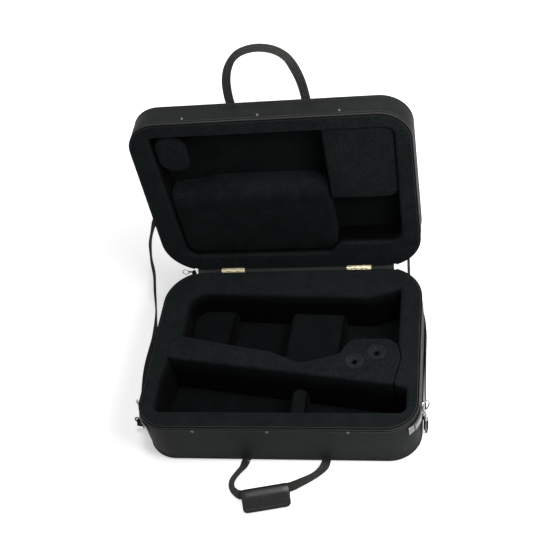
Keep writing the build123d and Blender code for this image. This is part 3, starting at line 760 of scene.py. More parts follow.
class CASE_OT_stage(bpy.types.Operator):
    """Camera, pale floor, lamps and white surroundings"""
    bl_idname = "case.stage"
    bl_label = "Stage"

    def execute(self, context):
        self.camera(context)
        self.ground(context)
        self.surroundings(context)
        lamp("top lamp", (0.1, 0.1, 2.6), (0.0, 0.0, 0.1), (0.8, 0.6), 25)
        lamp("right lamp", (0.75, -0.4, 1.15), (0.05, 0.0, 0.15), (0.6, 0.5), 12)
        lamp("front lamp", (0.2, -2.4, 1.0), (0.0, 0.0, 0.2), (1.4, 0.6), 2)
        return {"FINISHED"}

    def camera(self, context):
        """The place that the photo is taken from, solved on the outlines of both halves."""
        lens = bpy.data.cameras.new("camera")
        lens.lens, lens.sensor_width = LENS, 36.0
        lens.clip_start, lens.clip_end = 0.05, 60.0
        camera = bpy.data.objects.new("camera", lens)
        context.scene.collection.objects.link(camera)
        turn = Matrix.Rotation(CAMERA_YAW, 4, "Z") @ Matrix.Rotation(math.pi / 2 - CAMERA_DOWN, 4, "X")
        turn = turn @ Matrix.Rotation(CAMERA_ROLL, 4, "Z")
        camera.matrix_world = Matrix.Translation(CAMERA_AT) @ turn
        context.scene.camera = camera
        context.scene.view_settings.view_transform = "Standard"

    def ground(self, context):
        """The floor, a hair below the case."""
        floor = bpy.data.meshes.new("floor")
        floor.from_pydata([(-9, -9, 0), (9, -9, 0), (9, 9, 0), (-9, 9, 0)], [], [(0, 1, 2, 3)])
        plate = bpy.data.objects.new("floor", floor)
        context.scene.collection.objects.link(plate)
        plate.location.z = -0.0004
        floor.materials.append(self.floor_material(context))

    def surroundings(self, context):
        """A white world that is seen at full strength and lights the case faintly."""
        world = bpy.data.worlds.new("surroundings")
        context.scene.world = world
        world.use_nodes = True
        tree = world.node_tree
        background = tree.nodes["Background"]
        background.inputs["Color"].default_value = (1, 1, 1, 1)
        strength = remap(tree, seen(tree), (0.0, 1.0), (SURROUNDINGS, 1.0))
        tree.links.new(strength, background.inputs["Strength"])

    def floor_material(self, context):
        """Pale and matt, with a light of its own that is weaker round the case: a painted shadow."""
        made = bpy.data.materials.new("floor")
        made.use_nodes = True
        tree = made.node_tree
        shader = tree.nodes["Principled BSDF"]
        light = Vector(context.scene.case_colours.floor)
        spots = add(tree, "ShaderNodeTexNoise", {"Scale": 3.0}).outputs["Fac"]
        tree.links.new(mix(tree, spots, light, light * 0.985), shader.inputs["Base Color"])
        shader.inputs["Roughness"].default_value = 0.9
        shader.inputs["Specular IOR Level"].default_value = 0.1
        lift = add(tree, "ShaderNodeEmission", {"Color": (1, 1, 1, 1)})
        # painted shadow: the floor's own light is weaker round the case
        where = add(tree, "ShaderNodeTexCoord").outputs["Object"]
        away = add(tree, "ShaderNodeVectorMath", {0: where, 1: PAINTED_SHADOW_CENTRE}, operation="DISTANCE")
        glow_with_painted_shadow = remap(tree, away.outputs["Value"], PAINTED_SHADOW_REACH, (PAINTED_SHADOW_GLOW, 1.0), "SMOOTHSTEP")
        strength = math_node(tree, "MULTIPLY", seen(tree), glow_with_painted_shadow)
        tree.links.new(strength, lift.inputs["Strength"])
        both = add(tree, "ShaderNodeAddShader", {0: shader.outputs[0], 1: lift.outputs[0]})
        tree.links.new(both.outputs[0], tree.nodes["Material Output"].inputs["Surface"])
        return made


# Covers

def at_hinges(point):
    """Whether a point of the outline lies along the hinges, where no zip is."""
    return point.y > BACK - 60 and abs(point.x) < HINGED


class CASE_OT_covers(bpy.types.Operator):
    """Padded side covers, the lid's outer panel, piping and stitching"""
    bl_idname = "case.covers"
    bl_label = "Covers"

    def execute(self, context):
        sizes = context.scene.case_sizes
        for half in ("base", "lid"):
            self.wall(half, sizes)
            self.piping(half)
            self.seam(half, sizes)
        self.panel()
        finish_node("leatherette", "base_bottom_cover")
        finish_node("plywood", "base_shell", "lid_shell")
        return {"FINISHED"}

    def wall(self, half, sizes):
        """The cover round one half, from the piping up to the zip's tape."""
        low = 7.45 - HEIGHT[half]
        bulge = sizes.wall_bulge

        def top(drop):
            """Heights of the upper edge, which is higher along the hinges than under the zip."""
            return lambda q: -4.6 - drop if at_hinges(q) else -9.5 - drop

        middle = [(-bulge * math.sin(math.pi * k / 8), low + 4 + (-18 - low) * k / 8) for k in range(1, 8)]
        profile = [(2.3, low), (1.0, low + 0.1), (0.2, low + 1.0), (-0.1, low + 2.4)]
        profile += middle + [(0.0, top(5)), (0.1, top(2)), (0.6, top(0.6)), (1.3, top(0)), (2.3, top(0))]
        piece = band(f"{half}_wall_cover", half, profile, "leatherette", uneven=0.5)
        stand_in(piece, "leatherette", f"{half}_side_cover")

    def piping(self, half):
        """The round cord in the edge of the outer panel."""
        centre = 5.6 - HEIGHT[half]
        piece = band(f"{half}_edge_piping", half, arc_points((0.5, centre), 1.9, 180, -150, 30), "piping")
        stand_in(piece, "piping", f"{half}_piping")

    def seam(self, half, sizes):
        """Stitches in a row under the zip, and in one above the piping."""
        places = []
        for drop, whole in ((-12.6, False), (10.4 - HEIGHT[half], True)):
            inset = -0.05 if drop > -20 else -0.25
            path = [place(half, q.x, q.y, drop) for q in case_path(inset, whole)]
            places += [(p, t, wall_normal(half, p, t)) for p, t in walk(path, sizes.stitch_pitch, whole)]
        piece = stitches(f"{half}_wall_stitches", places, "thread", half)

    def panel(self):
        """The lid's outer face."""
        h = HEIGHT["lid"]
        piece = soft_block("lid_panel", "lid", case_path(1.2), 3.7 - h, -h, 2.4, "leatherette", crown=2.2,
                           uneven=0.5, spacing=16)
        stand_in(piece, "leatherette", "lid_panel_cover")


# Zip

# Sections: the tape and the cord by (inset, height), and a tooth by (out, height)
TAPE = ((0.5, -7.8), (0.0, -7.5), (0.1, -6.1), (0.0, -4.7), (0.4, -4.3), (1.6, -4.3), (1.6, -7.8))
TOOTH_CORD = ((-0.1, -3.3), (-0.2, -1.2), (0.4, -0.8), (2.1, -0.8), (2.1, -9.6), (1.1, -9.6), (1.1, -3.4))
TOOTH = ((1.3, -3.1), (1.55, -2.3), (1.45, -1.0), (0.6, -0.45), (-1.1, -0.45), (-1.2, -3.1))


class CASE_OT_zip(bpy.types.Operator):
    """Zip tapes, their teeth, the slider and the strip at the zip's end"""
    bl_idname = "case.zip"
    bl_label = "Zip"

    def execute(self, context):
        sizes = context.scene.case_sizes
        for half in ("base", "lid"):
            piece = band(f"{half}_zip_tape_woven", half, TAPE, "zip_tape", whole=False)
            stand_in(piece, "zip_tape", f"{half}_zip_tape")
            self.teeth(half, sizes)
            self.seam(half)
        self.end_strip()
        finish_node("nickel", "zip_slider", "zip_pull")
        return {"FINISHED"}

    def teeth(self, half, sizes):
        """A cord under the rim with a row of coil turns on it."""
        points, faces = [], []
        path = [place(half, q.x, q.y, 0) for q in case_path(0.8, False)]
        up = upward(half)
        for p, t in walk(path, sizes.tooth_pitch):
            out = wall_normal(half, p, t)
            first = len(points)
            for along in (-0.42, 0.42):
                points += [p + t * along + out * r + up * h for r, h in TOOTH]
            faces += strip(first, first + 6, 6)
            faces += [tuple(range(first, first + 6)), tuple(range(first + 6, first + 12))]
        piece = make(f"{half}_zip_teeth", points, faces, "zip_teeth", half, sharp=50)
        stand_in(piece, "zip_teeth", f"{half}_zip_coil")
        cord = band(f"{half}_zip_cord", half, TOOTH_CORD, "zip_teeth", whole=False)

    def seam(self, half):
        """Stitches that hold the tape."""
        path = [place(half, q.x, q.y, -6.4) for q in case_path(-0.1, False)]
        places = [(p, t, wall_normal(half, p, t)) for p, t in walk(path, 3.0)]
        stitches(f"{half}_zip_stitches", places, "thread", half, 2.0, 0.42)

    def end_strip(self):
        """Tape bridging the gap of the right rear corner."""
        centres = [(259.5, BACK - 22.5, 114.2), (259.5, BACK - 19.0, 117.6), (259.5, BACK - 12.0, 124.6),
                   (259.5, BACK - 6.0, 131.4), (259.5, BACK + 0.9, 138.4), (259.5, BACK + 4.4, 142.6)]
        piece = ribbon("zip_end_tape", centres, [((1, 0, 0), 6.0)] * 6, "zip_tape", None, 1.0, 6)
        stand_in(piece, "zip_tape", "zip_end_strip")
        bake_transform(piece)


# Plush lining of both halves. Outlines are corners of (x, y, radius)

BASE_WELLS = [
    (-257, -174, 16), (265, -174, 16), (265, -114, 10), (238.4, -108.6, 8), (252.6, -36, 30), (243.5, 2, 16),
    (244, 154, 5), (180, 128, 60), (-234, 151, 42), (-229, 27, 13), (-256.5, 7, 6), (-251.5, -36, 5),
    (-259, -92, 40),
]
LID_RECESS = [
    (-246, -181, 10), (256, -181, 20), (250, 136, 26), (116, 136, 14), (92, 167, 18), (-238, 167, 28),
]
DIVIDER = [
    (-252.0, -33.8, 3), (236.4, -105.4, 6), (250.8, -36, 34), (238, 14.5, 34), (140, 14.5, 40),
    (121, -24, 14), (40, -49.5, 40), (-27, -18, 60), (-120, 1, 80), (-230, 26.5, 5), (-255.8, 6.8, 4),
]
DIVIDER_TOP = -1.6
SOCKETS = ((154.0, -46.0), (199.0, -24.0))
SOCKET_OPENING = 20.4
SOCKET_DISH = (
    (20.6, -4.2), (20.3, -2.2), (19.6, -0.6), (18.2, 0.2), (16.8, 0.3), (15.0, -0.4), (12.6, -2.0),
    (10.4, -3.3), (8.6, -4.1), (7.2, -4.7), (6.1, -6.2), (5.9, -11.0),
)
SOCKET_TUBE = (
    (6.0, -10.4), (5.78, -11.4), (5.76, -30), (5.76, -61.8), (9.0, -61.9), (9.0, -11.8), (6.3, -10.6),
)
PAD_PAINTED_SHADE = 0.42  # painted shade on the large lid pad's upright faces
PAD_PAINTED_LIGHT = 0.6  # how much of that painted shade its faces lose as they turn up, a painted light from above
# How much deeper into painted shade than they lie, or less deep, some pads are drawn
PAINTED_SHADES = {"left_block": 1.2, "small_post": 1.5, "back_floor_pad": 0.72,
          "front_floor_pad": 0.72, "lid_floor_pad": 0.72}


def ease(value, low, high):
    """0 below low, 1 above high, and a smooth change between."""
    t = max(0.0, min(1.0, (value - low) / (high - low)))
    return t * t * (3 - 2 * t)


def tucked(path):
    """The outline drawn in a little along the hinges, whose leaves need the room."""
    return [Vector((q.x, q.y - 0.9)) if at_hinges(q) else q for q in path]


def beside_divider(point, sizes):
    """Edge radius of the base's lining: soft at the wells, tight along the seams beside the divider."""
    left = ease(-point.x, 218, 236) * ease(40 - point.y, 0, 14) * ease(point.y + 48, 0, 14)
    right = ease(point.x, 226, 234) * ease(6 - point.y, 0, 16) * ease(point.y + 118, 0, 10)
    tight = max(left, right)
    return sizes.well_edge * (1 - tight) + sizes.seam_edge * tight


def divider_edge(point, sizes):
    """Edge radius of the divider: soft at the wells, tight along the seams at its ends."""
    tight = max(ease(-point.x, 222, 240), ease(point.x, 224, 234) * ease(8 - point.y, 0, 14))
    return 6.5 * (1 - tight) + sizes.seam_edge * tight


def lining(half, corners, edge, floor, uneven):
    """Rim and walls of one half: padded, with a rounded edge all round its wells."""
    path = outline(corners, 9.0)
    under, middle, start = (tucked(case_path(inset)) for inset in (3.1, 3.8, 5.6))
    rings = rounding(path, edge, LINER_TOP, floor, -1)

    def rim(p, away):
        """The height of the padded rim, which sinks a little away from its edges."""
        sunk = 0.5 + 0.5 * noise.noise(Vector((p.x, p.y, 3.0)) / 24)
        return LINER_TOP - uneven * sunk * min(1, away / 8)

    points = [place(half, q.x, q.y, -2.6) for q in under]
    points += [place(half, q.x, q.y, -0.7) for q in middle]
    n = len(under)
    flat, away, triangles = fill(start, [[p for p, _ in rings[-1]]], 10.0)
    first = 2 * n
    points += [place(half, p.x, p.y, rim(p, d)) for p, d in zip(flat, away)]
    faces = strip(0, n, n) + strip(n, first, n) + [tuple(first + k for k in face) for face in triangles]
    m = len(path)
    upper = first + n
    for ring in reversed(rings[:-1]):
        lower = len(points)
        points += [place(half, p.x, p.y, h) for p, h in ring]
        faces += strip(upper, lower, m)
        upper = lower
    for share in (0.35, 0.7, 1.0):
        lower = len(points)
        for p, normal in zip(path, outward(path)):
            q = p + normal * ripple(p.x, p.y, floor * share, 45, 0.8) * (1 - share)
            points.append(place(half, q.x, q.y, floor * share))
        faces += strip(upper, lower, m)
        upper = lower
    faces.append(tuple(range(upper, upper + m)))
    piece = make(f"{half}_lining", points, faces, "plush", half, sharp=60)
    return stand_in(piece, "plush", f"{half}_liner")


class CASE_OT_base_lining(bpy.types.Operator):
    """Plush rim and walls of the base"""
    bl_idname = "case.base_lining"
    bl_label = "Base lining"

    def execute(self, context):
        sizes = context.scene.case_sizes
        lining("base", BASE_WELLS, lambda p: beside_divider(p, sizes), LINER_FLOOR - HEIGHT["base"],
               sizes.pile_unevenness)
        return {"FINISHED"}


class CASE_OT_divider(bpy.types.Operator):
    """Slanting divider with the two mouthpiece sockets in its ear"""
    bl_idname = "case.divider"
    bl_label = "Divider"

    def execute(self, context):
        sizes = context.scene.case_sizes
        holes = [arc_points(at, SOCKET_OPENING, 0, 351, 9) for at in SOCKETS]
        foot = LINER_FLOOR + 0.1 - HEIGHT["base"]
        piece = soft_block("divider_plush", "base", outline(DIVIDER, 9.0), foot, DIVIDER_TOP,
                           lambda p: divider_edge(p, sizes), "plush", uneven=0.5, spacing=9, holes=holes)
        stand_in(piece, "plush", "divider")
        names = ("mouthpiece_socket_front", "mouthpiece_socket_rear")
        for name, (x, y) in zip(names, SOCKETS):
            at = (x, y, HEIGHT["base"])
            collar = lathe(f"{name}_plush", at, (0, 0, 1), SOCKET_DISH, "socket_plush_painted_light", "base", 48)
            stand_in(collar, "plush", name)
            tube = lathe(f"{name}_tube", at, (0, 0, 1), SOCKET_TUBE, "socket", "base", 40)
        return {"FINISHED"}


class CASE_OT_base_blocks(bpy.types.Operator):
    """Blocks, post and floor pads of the base's wells"""
    bl_idname = "case.base_blocks"
    bl_label = "Base blocks"

    def execute(self, context):
        sizes = context.scene.case_sizes
        edge, rim = sizes.block_edge, HEIGHT["base"]
        blocks = (
            ("back_floor_pad", 8.1, 20, 3.0, 0.8, [
                (-229.3, 28.2, 3), (-120, 1.7, 20), (-27, -17.4, 30), (12, -39.3, 8), (40, -49.2, 8),
                (119.4, -24.6, 3), (119.4, 15.5, 30), (231, 15.5, 20), (243.1, -1.5, 3), (243.6, 153.3, 3),
                (180, 127.5, 50), (-233.5, 150.4, 41)]),
            ("front_floor_pad", 8.1, 15, 3.0, 0.8, [
                (-256.5, -173.5, 15.5), (264.5, -173.5, 15.5), (264.5, -114.5, 6), (250.5, -109.6, 4),
                (-240, -35.6, 10), (-250.4, -34.0, 4), (-258.5, -92, 40)]),
            ("left_block", 20.1, 60, edge, 1.2, [
                (-229.3, 28.2, 6), (-139.2, 6.4, 8), (-129.8, 144.6, 8), (-233.5, 150.4, 41)]),
            ("middle_block", 20.1, 60, edge, 1.2, [
                (-12.7, -25.0, 8), (12, -39.2, 12), (40, -49.0, 12), (112.4, -26.7, 10), (119.3, 130.9, 8),
                (-4.0, 137.8, 8)]),
            ("small_post", 15.1, 83, edge, 0.6, [
                (22.5, -173.5, 2), (59.5, -173.5, 2), (59.5, -90, 18), (22.5, -90, 18)]),
        )
        for name, low, top, radius, crown, corners in blocks:
            piece = soft_block(f"{name}_plush", "base", soft_outline(corners, radius), low - rim,
                               top - rim - crown, radius, "plush", crown=crown, uneven=sizes.pile_unevenness)
            stand_in(piece, "plush", name)
            shade(piece, PAINTED_SHADES.get(name, 1.0))
        return {"FINISHED"}


class CASE_OT_lid_lining(bpy.types.Operator):
    """Plush rim and walls of the lid, with the pads in its recess"""
    bl_idname = "case.lid_lining"
    bl_label = "Lid lining"

    def execute(self, context):
        sizes = context.scene.case_sizes
        lining("lid", LID_RECESS, sizes.well_edge * 0.75, LINER_FLOOR - HEIGHT["lid"],
               sizes.pile_unevenness)

        def slope(point):
            """The large pad's round fall to its edge next to the open recess."""
            start = -36 + 17 * ease(-point.x, 120, 240)
            share = min(1.0, max(0.0, (point.y - start) / 46))
            return 34.0 * (1 - math.sqrt(1 - (1 - share) ** 2))

        pads = (
            ("lid_floor_pad", -56.9, -52, 2.0, 0.6, None, [
                (-245.5, -180.5, 10), (255.5, -180.5, 19), (249.5, 135.5, 25), (116, 135.5, 13),
                (91.7, 166.5, 18), (-237.6, 166.5, 27)]),
            ("lid_corner_boss", -51.9, -10, 7.0, 1.5, None, [
                (-242.4, -176.9, 34), (-170.6, -176.9, 34), (-170.6, -81.1, 34), (-242.4, -81.1, 34)]),
            ("lid_large_pad", -51.9, -10, 6.5, 2.0, slope, [
                (-241.0, -19, 14), (-180, -25, 60), (-130, -36, 60), (106.9, -36, 9), (106.9, 146.8, 8),
                (91.7, 164.5, 15), (-235.6, 164.5, 27)]),
            ("lid_block", -51.9, -6, 6.5, 1.5, None, [
                (110.2, 8.9, 8), (252.2, 8.9, 26), (255.5, -180.5, 19), (110.2, -180.5, 6)]),
        )
        for name, low, top, radius, crown, dip, corners in pads:
            piece = soft_block(f"{name}_plush", "lid", soft_outline(corners, radius), low, top - crown * 0.5,
                               radius, "plush", crown=crown, uneven=sizes.pile_unevenness, dip=dip,
                               spacing=6.5 if dip else 11)
            stand_in(piece, "plush", name)
            shade(piece, PAINTED_SHADES.get(name, 1.0))
            # the large pad gets painted shade on its upright faces and painted light on its top
            if dip:
                for vertex, value in zip(piece.data.vertices, piece.data.attributes["depth"].data):
                    value.value = max(0.0, PAD_PAINTED_SHADE - PAD_PAINTED_LIGHT * vertex.normal.z)
        return {"FINISHED"}


# Handles

class CASE_OT_lid_handle(bpy.types.Operator):
    """Webbing loop on the lid, with its ends sewn flat under two patches"""
    bl_idname = "case.lid_handle"
    bl_label = "Lid handle"

    def execute(self, context):
        wide = context.scene.case_sizes.handle_webbing
        line = [(-73, 530), (-75, 562), (-72, 600), (-62, 632), (-44, 658), (-20, 671), (8, 674), (35, 667),
                (55, 651), (67, 627), (76, 594), (80, 560), (81, 530)]
        turn = [0, 0, 10, 34, 66, 82, 90, 98, 114, 146, 170, 180, 180]  # the webbing twists half round
        edgewise = Vector((0, -0.94, -0.34))
        widths = [(Vector((math.cos(t), 0, 0)) + edgewise * math.sin(t), wide)
                  for t in map(math.radians, turn)]
        centres = [(x, LID_FACE + 1.7, z) for x, z in line]
        piece = ribbon("lid_handle_webbing", centres, widths, "webbing", "lid_handle")
        stand_in(piece, "webbing", "lid_handle")
        places = []
        for side, x in (("left", -73.0), ("right", 81.0)):
            centres = [(x, LID_FACE + lift, z) for lift, z in ((1.6, 528.6), (1.5, 500), (1.4, 462))]
            foot = ribbon(f"lid_handle_end_{side}", centres, [((1, 0, 0), wide)] * 3, "webbing", "lid")
            patch = outline([(x - 17, 458, 4), (x + 17, 458, 4), (x + 17, 500, 4), (x - 17, 500, 4)], 5)
            middle = Vector((x, 479))
            wider = [q + (q - middle) * 0.03 for q in patch]
            rows = [[Vector((q.x, LID_FACE + lift, q.y)) for q in ring]
                    for ring, lift in ((wider, 0.6), (wider, 3.2), (patch, 3.9))]
            leather = skin(f"lid_handle_patch_{side}", rows, "grip_leather", "lid", sharp=60)
            stand_in(leather, "webbing", *(["lid_handle_feet"] if side == "left" else []))
            left, right = x - 14.5, x + 14.5
            seam = outline([(left, 461, 3), (right, 461, 3), (right, 497, 3), (left, 497, 3)], 3)
            seam = [Vector((q.x, LID_FACE + 3.9, q.y)) for q in seam]
            places += [(p, t, Vector((0, 1, 0))) for p, t in walk(seam, 3.6, True)]
        stitches("lid_handle_stitches", places, "thread", "lid", 2.4, 0.35)
        return {"FINISHED"}


GRIP_CENTRE = Vector((-21.0, -294.0, 0))
GRIP_LENGTH = 97.0
GRIP_TURN = Matrix.Rotation(math.radians(12), 3, "Z")


def grip_point(x, y, z):
    """A point of the grip, from its own turned axes."""
    return GRIP_CENTRE + GRIP_TURN @ Vector((x, y, z))


def leather_sheet(name, section, thickness, body, radius=9.0):
    """A leather sheet across the grip. section goes from the back to the free front edge, whose two
    corners are rounded over the last run of length radius."""
    line = flow([Vector((0, y, z)) for y, z in section], 8)
    lengths = [0.0]
    for a, b in zip(line, line[1:]):
        lengths.append(lengths[-1] + (b - a).length)
    steps = [i / 7 - 1 for i in range(15)]
    rows = []
    for p, t, length in zip(line, tangents(line), lengths):
        n = Vector((0, -t.z, t.y))
        left = lengths[-1] - length
        short = radius - math.sqrt(radius ** 2 - (radius - left) ** 2) if left < radius else 0
        half = GRIP_LENGTH / 2 - short
        row = []
        for lift, order in ((thickness / 2, steps), (-thickness / 2, steps[::-1])):
            for share in order:
                thin = 0.25 if abs(share) == 1 else 1.0
                row.append(grip_point(*(Vector((share * half, p.y, p.z)) + n * lift * thin)))
        rows.append(row)
    return skin(name, rows, "grip_leather", body, sharp=50)


class CASE_OT_base_handle(bpy.types.Operator):
    """Webbing loop of the base with the leather grip folded round it"""
    bl_idname = "case.base_handle"
    bl_label = "Base handle"

    def execute(self, context):
        wide = context.scene.case_sizes.handle_webbing
        line = (
            ((-73, -218.4, 1.6), (1, 0, 0)), ((-76, -234, 4.2), (0.95, -0.15, 0.28)),
            ((-85, -250, 6.8), (0.85, -0.25, 0.45)), ((-93, -267, 8.0), (0.84, -0.1, 0.52)),
            ((-93, -283, 8.8), (0.66, 0.15, 0.72)), ((-84, -297, 10.2), (0.3, 0.45, 0.84)),
            ((-66, -303.5, 9.6), (0, 0.8, 0.6)), ((-21, -294.5, 9.6), (0, 0.8, 0.6)),
            ((24, -284.6, 9.6), (0, 0.8, 0.6)), ((54, -270.5, 11.4), (0, 0.5, 0.87)),
            ((75, -257, 10.9), (-0.1, 0.25, 0.95)), ((88, -243.5, 10.2), (-0.4, 0.2, 0.88)),
            ((94.5, -231, 7.8), (-0.8, 0.1, 0.6)), ((96, -218.4, 1.6), (-1, 0, 0)),
        )
        piece = ribbon("base_handle_webbing", [p for p, _ in line], [(w, wide) for _, w in line], "webbing",
                       "base_handle")
        stand_in(piece, "webbing", "base_handle")
        for side, x in (("left", -72.0), ("right", 96.0)):
            foot = ribbon(f"base_handle_end_{side}", [(x, -217, 1.5), (x, -190, 1.5), (x, -161, 1.5)],
                          [((1, 0, 0), wide)] * 3, "webbing", "base")
            stand_in(foot, "webbing", *(["base_handle_feet"] if side == "left" else []))
        back = leather_sheet("grip_back_leather", [
            (3.6, 17.4), (5.2, 13), (5.6, 8), (4.6, 2.6), (1.5, 1.4), (-8, 1.3), (-22, 1.3), (-38, 1.5)],
            2.0, "base_handle")
        stand_in(back, "grip_leather", "grip_back")
        flap = leather_sheet("grip_flap_leather", [
            (6.0, 17.4), (4.6, 19.4), (1.5, 20.5), (-3, 20.4), (-8, 19.6), (-14, 18.0), (-20, 15.2),
            (-26, 11.6), (-33, 7.2), (-39.5, 2.8)], 1.9, "grip_flap")
        stand_in(flap, "grip_leather", "grip_flap")
        half = GRIP_LENGTH / 2 - 4
        path = [grip_point(x, -34.8, 7.0) for x in (-half, half)]
        places = [(p, t, Vector((0, -0.25, 0.97))) for p, t in walk(path, 3.6)]
        stitches("grip_stitches", places, "thread", "grip_flap", 2.4, 0.35)
        return {"FINISHED"}


# Corner tabs, rings, hooks and strap

RING_BAR = (294.7, -143.0)  # the upright bar of the right ring
TAB_Z = 86.0
HANG = {"right": Vector((-0.02, 0, 1)), "left": Vector((0.25, 0, 0.97))}  # up along each hanging hook
HOOK_AT = Vector((298.2355, -139.4645, 71.0))  # where the right hook hangs in its ring
# The strap's way over the floor, from the right hook round the back to the left one
STRAP_ROUTE = (
    (299.5, -140), (295, -85), (293.4, 50), (293.6, 150), (262, 226), (160, 276), (0, 352), (-150, 445),
    (-262, 502), (-324, 538), (-362, 549), (-399, 533), (-418, 499), (-416, 450), (-409, 398), (-395, 354),
    (-377, 303), (-363, 240), (-346, 176), (-336, 112), (-338, 40), (-334, -40), (-324, -98), (-312, -139),
)
STRAP_Z = 12.9


class CASE_OT_corner_tabs(bpy.types.Operator):
    """Leather tabs round the front corners, folded round the bars of the rings"""
    bl_idname = "case.corner_tabs"
    bl_label = "Corner tabs"

    def execute(self, context):
        corner = Vector((WIDTH / 2 - FRONT_CORNER, FRONT_CORNER - BACK))
        line = [(q, 21.0) for q in arc_points(corner, 68.6, -48, -8, 8)]
        line.append((Vector((292.0, -148.0)), 18.0))
        line += [(q, 14.0) for q in arc_points(RING_BAR, 3.2, 180, -90, 45)]
        line += [(q, 20.0) for q in arc_points(corner, 70.6, -10, -34, 8)]
        for side, sign in (("left", -1), ("right", 1)):
            piece = ribbon(f"corner_tab_{side}", [(sign * q.x, q.y, TAB_Z) for q, _ in line],
                           [((0, 0, 1), wide) for _, wide in line], "tab_leather_painted_highlight", "base", 1.7, 6)
            stand_in(piece, "grip_leather", f"ring_tab_{side}")
            places = []
            for z in (TAB_Z - 7.5, TAB_Z + 7.5):
                middle = Vector((sign * corner.x, corner.y, z))
                path = [Vector((sign * q.x, q.y, z)) for q in arc_points(corner, 71.5, -12, -33, 3)]
                places += [(p, t, (p - middle).normalized()) for p, t in walk(path, 3.2)]
            seam = stitches(f"corner_tab_stitches_{side}", places, "thread", "base", 2.2, 0.32)
        return {"FINISHED"}


class CASE_OT_strap(bpy.types.Operator):
    """Shoulder strap on its edge behind the case, and its ends on the hooks"""
    bl_idname = "case.strap"
    bl_label = "Shoulder strap"

    def execute(self, context):
        wide = context.scene.case_sizes.strap_webbing
        path = self.route(context)
        rows = []
        for k, (p, t) in enumerate(zip(path, tangents(path))):
            n = t.cross(Vector((0, 0, 1)))
            lean = 0.10 * math.sin(k * 0.11) + 0.05 * math.sin(k * 0.31)
            lean *= ease(abs(p.x - 0.2935), 0.004, 0.03)  # upright along the right wall
            up = (Vector((0, 0, 1)) + n * lean).normalized()
            n = t.cross(up).normalized()
            section = mirrored([(wide / 2, 0), (wide / 2 - 0.6, 1.0), (wide / 2 - 2, 1.2), (0, 1.1)])
            rows.append([p * 1000 + up * x + n * y for x, y in section])
        strap = skin("strap_webbing", rows, "strap", "base")
        stand_in(strap, "webbing", "shoulder_strap")
        ends = [self.end(side, wide) for side in ("right", "left")]
        for side in ("left", "right"):
            finish_node("nickel", f"d_ring_{side}", f"snap_hook_{side}", f"hook_gate_{side}")
            finish_node("dark_metal", f"swivel_eye_{side}")
        return {"FINISHED"}

    def route(self, context):
        """The strap's line in metres, smooth through its route on the floor."""
        curve = bpy.data.curves.new("strap_route", "CURVE")
        curve.dimensions = "3D"
        curve.resolution_u = 12
        spline = curve.splines.new("NURBS")
        spline.points.add(len(STRAP_ROUTE) - 1)
        for point, (x, y) in zip(spline.points, STRAP_ROUTE):
            point.co = (x * 0.001, y * 0.001, STRAP_Z * 0.001, 1)
        spline.order_u = 3
        spline.use_endpoint_u = True
        holder = bpy.data.objects.new("strap_route", curve)
        context.scene.collection.objects.link(holder)
        context.view_layer.update()
        line = bpy.data.meshes.new_from_object(holder.evaluated_get(context.evaluated_depsgraph_get()))
        path = [v.co.copy() for v in line.vertices]
        bpy.data.objects.remove(holder)
        bpy.data.meshes.remove(line)
        return path

    def end(self, side, wide):
        """Webbing folded round the eye's lower bar and sewn down on itself."""
        sign = 1 if side == "right" else -1
        up = HANG[side].normalized()
        at = Vector((sign * HOOK_AT.x, HOOK_AT.y, HOOK_AT.z)) - up * 44.5
        across = Vector((0, 1, 0)) if side == "right" else Vector((1, 0, 0))
        across = (across - up * across.dot(up)).normalized()
        n = up.cross(across)
        loop = [(-1.3, -17), (-1.4, -8), (-3.4, -3), (-3.6, 1), (-2.0, 3.3), (0, 3.9), (2.0, 3.3), (3.6, 1),
                (3.4, -3), (1.4, -8), (1.3, -17)]
        centres = [at + n * x + up * z for x, z in loop]
        widths = [(across, wide - 1)] * len(loop)
        return stand_in(ribbon(f"strap_end_{side}", centres, widths, "strap", "base", 2.2, 5), "webbing")


# Metal pieces

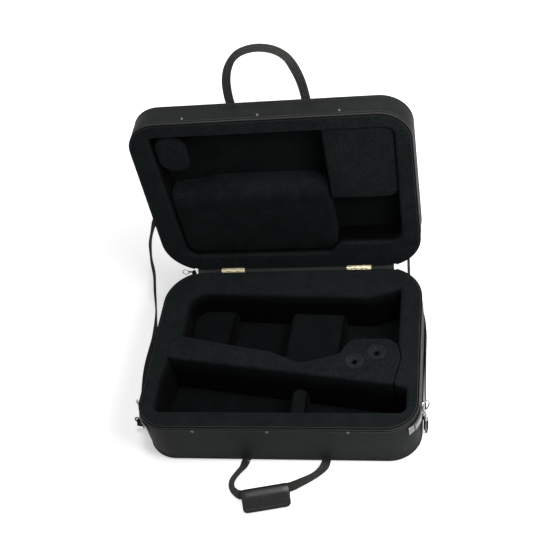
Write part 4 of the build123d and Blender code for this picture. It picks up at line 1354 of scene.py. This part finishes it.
class CASE_OT_metal(bpy.types.Operator):
    """Hinges, their cloth, screws and the rivets of the front walls"""
    bl_idname = "case.metal"
    bl_label = "Hinges and rivets"

    def execute(self, context):
        finish_node("hinge_metal", "base_hinge_leaf_left", "base_hinge_leaf_right", "lid_hinge_leaf_left",
                    "lid_hinge_leaf_right", "hinge_pin_left", "hinge_pin_right", "base_hinge_screws",
                    "lid_hinge_screws")
        dome = [(0.0, -0.3), (1.1, -0.3), (1.4, 0.8), (1.9, 1.3), (2.6, 1.0), (3.1, 0.4), (3.2, 0.0),
                (3.2, -0.6), (0.0, -0.6)]
        for half, drop in (("base", -16.0), ("lid", -20.0)):
            front = place(half, 0, -1, 0) - place(half, 0, 0, 0)
            for k, x in enumerate((-167.0, -12.0, 152.0)):
                at = place(half, x, -BACK - 0.1, drop)
                piece = lathe(f"{half}_rivet_{k}", at, front, dome, "dark_metal", half, 28)
                stand_in(piece, "rivet_metal", *([f"{half}_rivets"] if k == 0 else []))
        self.cloth()
        return {"FINISHED"}

    def cloth(self):
        """Cloth behind the knuckles: it lies on both rear walls and spans the open corner."""
        section = [(0.7, -26), (0.7, -15), (0.8, -6), (1.6, -3.6), (3.6, -1.6), (6, -0.8), (15, -0.7),
                   (26, -0.7)]
        line = flow([Vector((0, u, v)) for u, v in section], 5)
        columns = [-226 + 452 * i / 32 for i in range(33)]
        rows = []
        for k, (p, t) in enumerate(zip(line, tangents(line))):
            n = Vector((0, -t.z, t.y)) * 0.5
            share = k / (len(line) - 1)
            row = []
            for x in columns:
                into = max(0.0, abs(x) - (WIDTH / 2 - REAR_CORNER))
                fall = REAR_CORNER - math.sqrt(REAR_CORNER ** 2 - into ** 2)
                row.append(Vector((x, BACK + p.y - fall * (1 - share),
                                   HEIGHT["base"] + p.z + fall * share)))
            rows.append([q + n for q in row] + [q - n for q in reversed(row)])
        piece = skin("hinge_cloth_woven", rows, "zip_tape", None, sharp=60)
        stand_in(piece, "zip_tape", "hinge_cloth")
        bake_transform(piece)


OPERATORS = (
    CASE_OT_stage, CASE_OT_covers, CASE_OT_zip, CASE_OT_base_lining, CASE_OT_divider, CASE_OT_base_blocks,
    CASE_OT_lid_lining, CASE_OT_lid_handle, CASE_OT_base_handle, CASE_OT_corner_tabs, CASE_OT_strap,
    CASE_OT_metal,
)


class CASE_PT_panel(bpy.types.Panel):
    """Sizes, colours and pieces of the trumpet case"""
    bl_idname = "CASE_PT_panel"
    bl_label = "Trumpet case"
    bl_space_type = "VIEW_3D"
    bl_region_type = "UI"
    bl_category = "Trumpet case"

    def draw(self, context):
        for group_name in ("case_sizes", "case_colours"):
            settings = getattr(context.scene, group_name)
            box = self.layout.box()
            for key in settings.__annotations__:
                box.prop(settings, key)
        for operator in OPERATORS:
            self.layout.operator(operator.bl_idname)


CLASSES = (CaseSizes, CaseColours, *OPERATORS, CASE_PT_panel)


def register():
    """Adds the classes, and the settings to every scene."""
    for cls in CLASSES:
        bpy.utils.register_class(cls)
    bpy.types.Scene.case_sizes = bpy.props.PointerProperty(type=CaseSizes)
    bpy.types.Scene.case_colours = bpy.props.PointerProperty(type=CaseColours)


def unregister():
    """Takes away what register adds."""
    del bpy.types.Scene.case_colours
    del bpy.types.Scene.case_sizes
    for cls in reversed(CLASSES):
        bpy.utils.unregister_class(cls)


def main():
    """Builds the case with every operator in turn."""
    register()
    for operator in OPERATORS:
        group_name, name = operator.bl_idname.split(".")
        getattr(getattr(bpy.ops, group_name), name)()


if __name__ == "__main__":
    main()
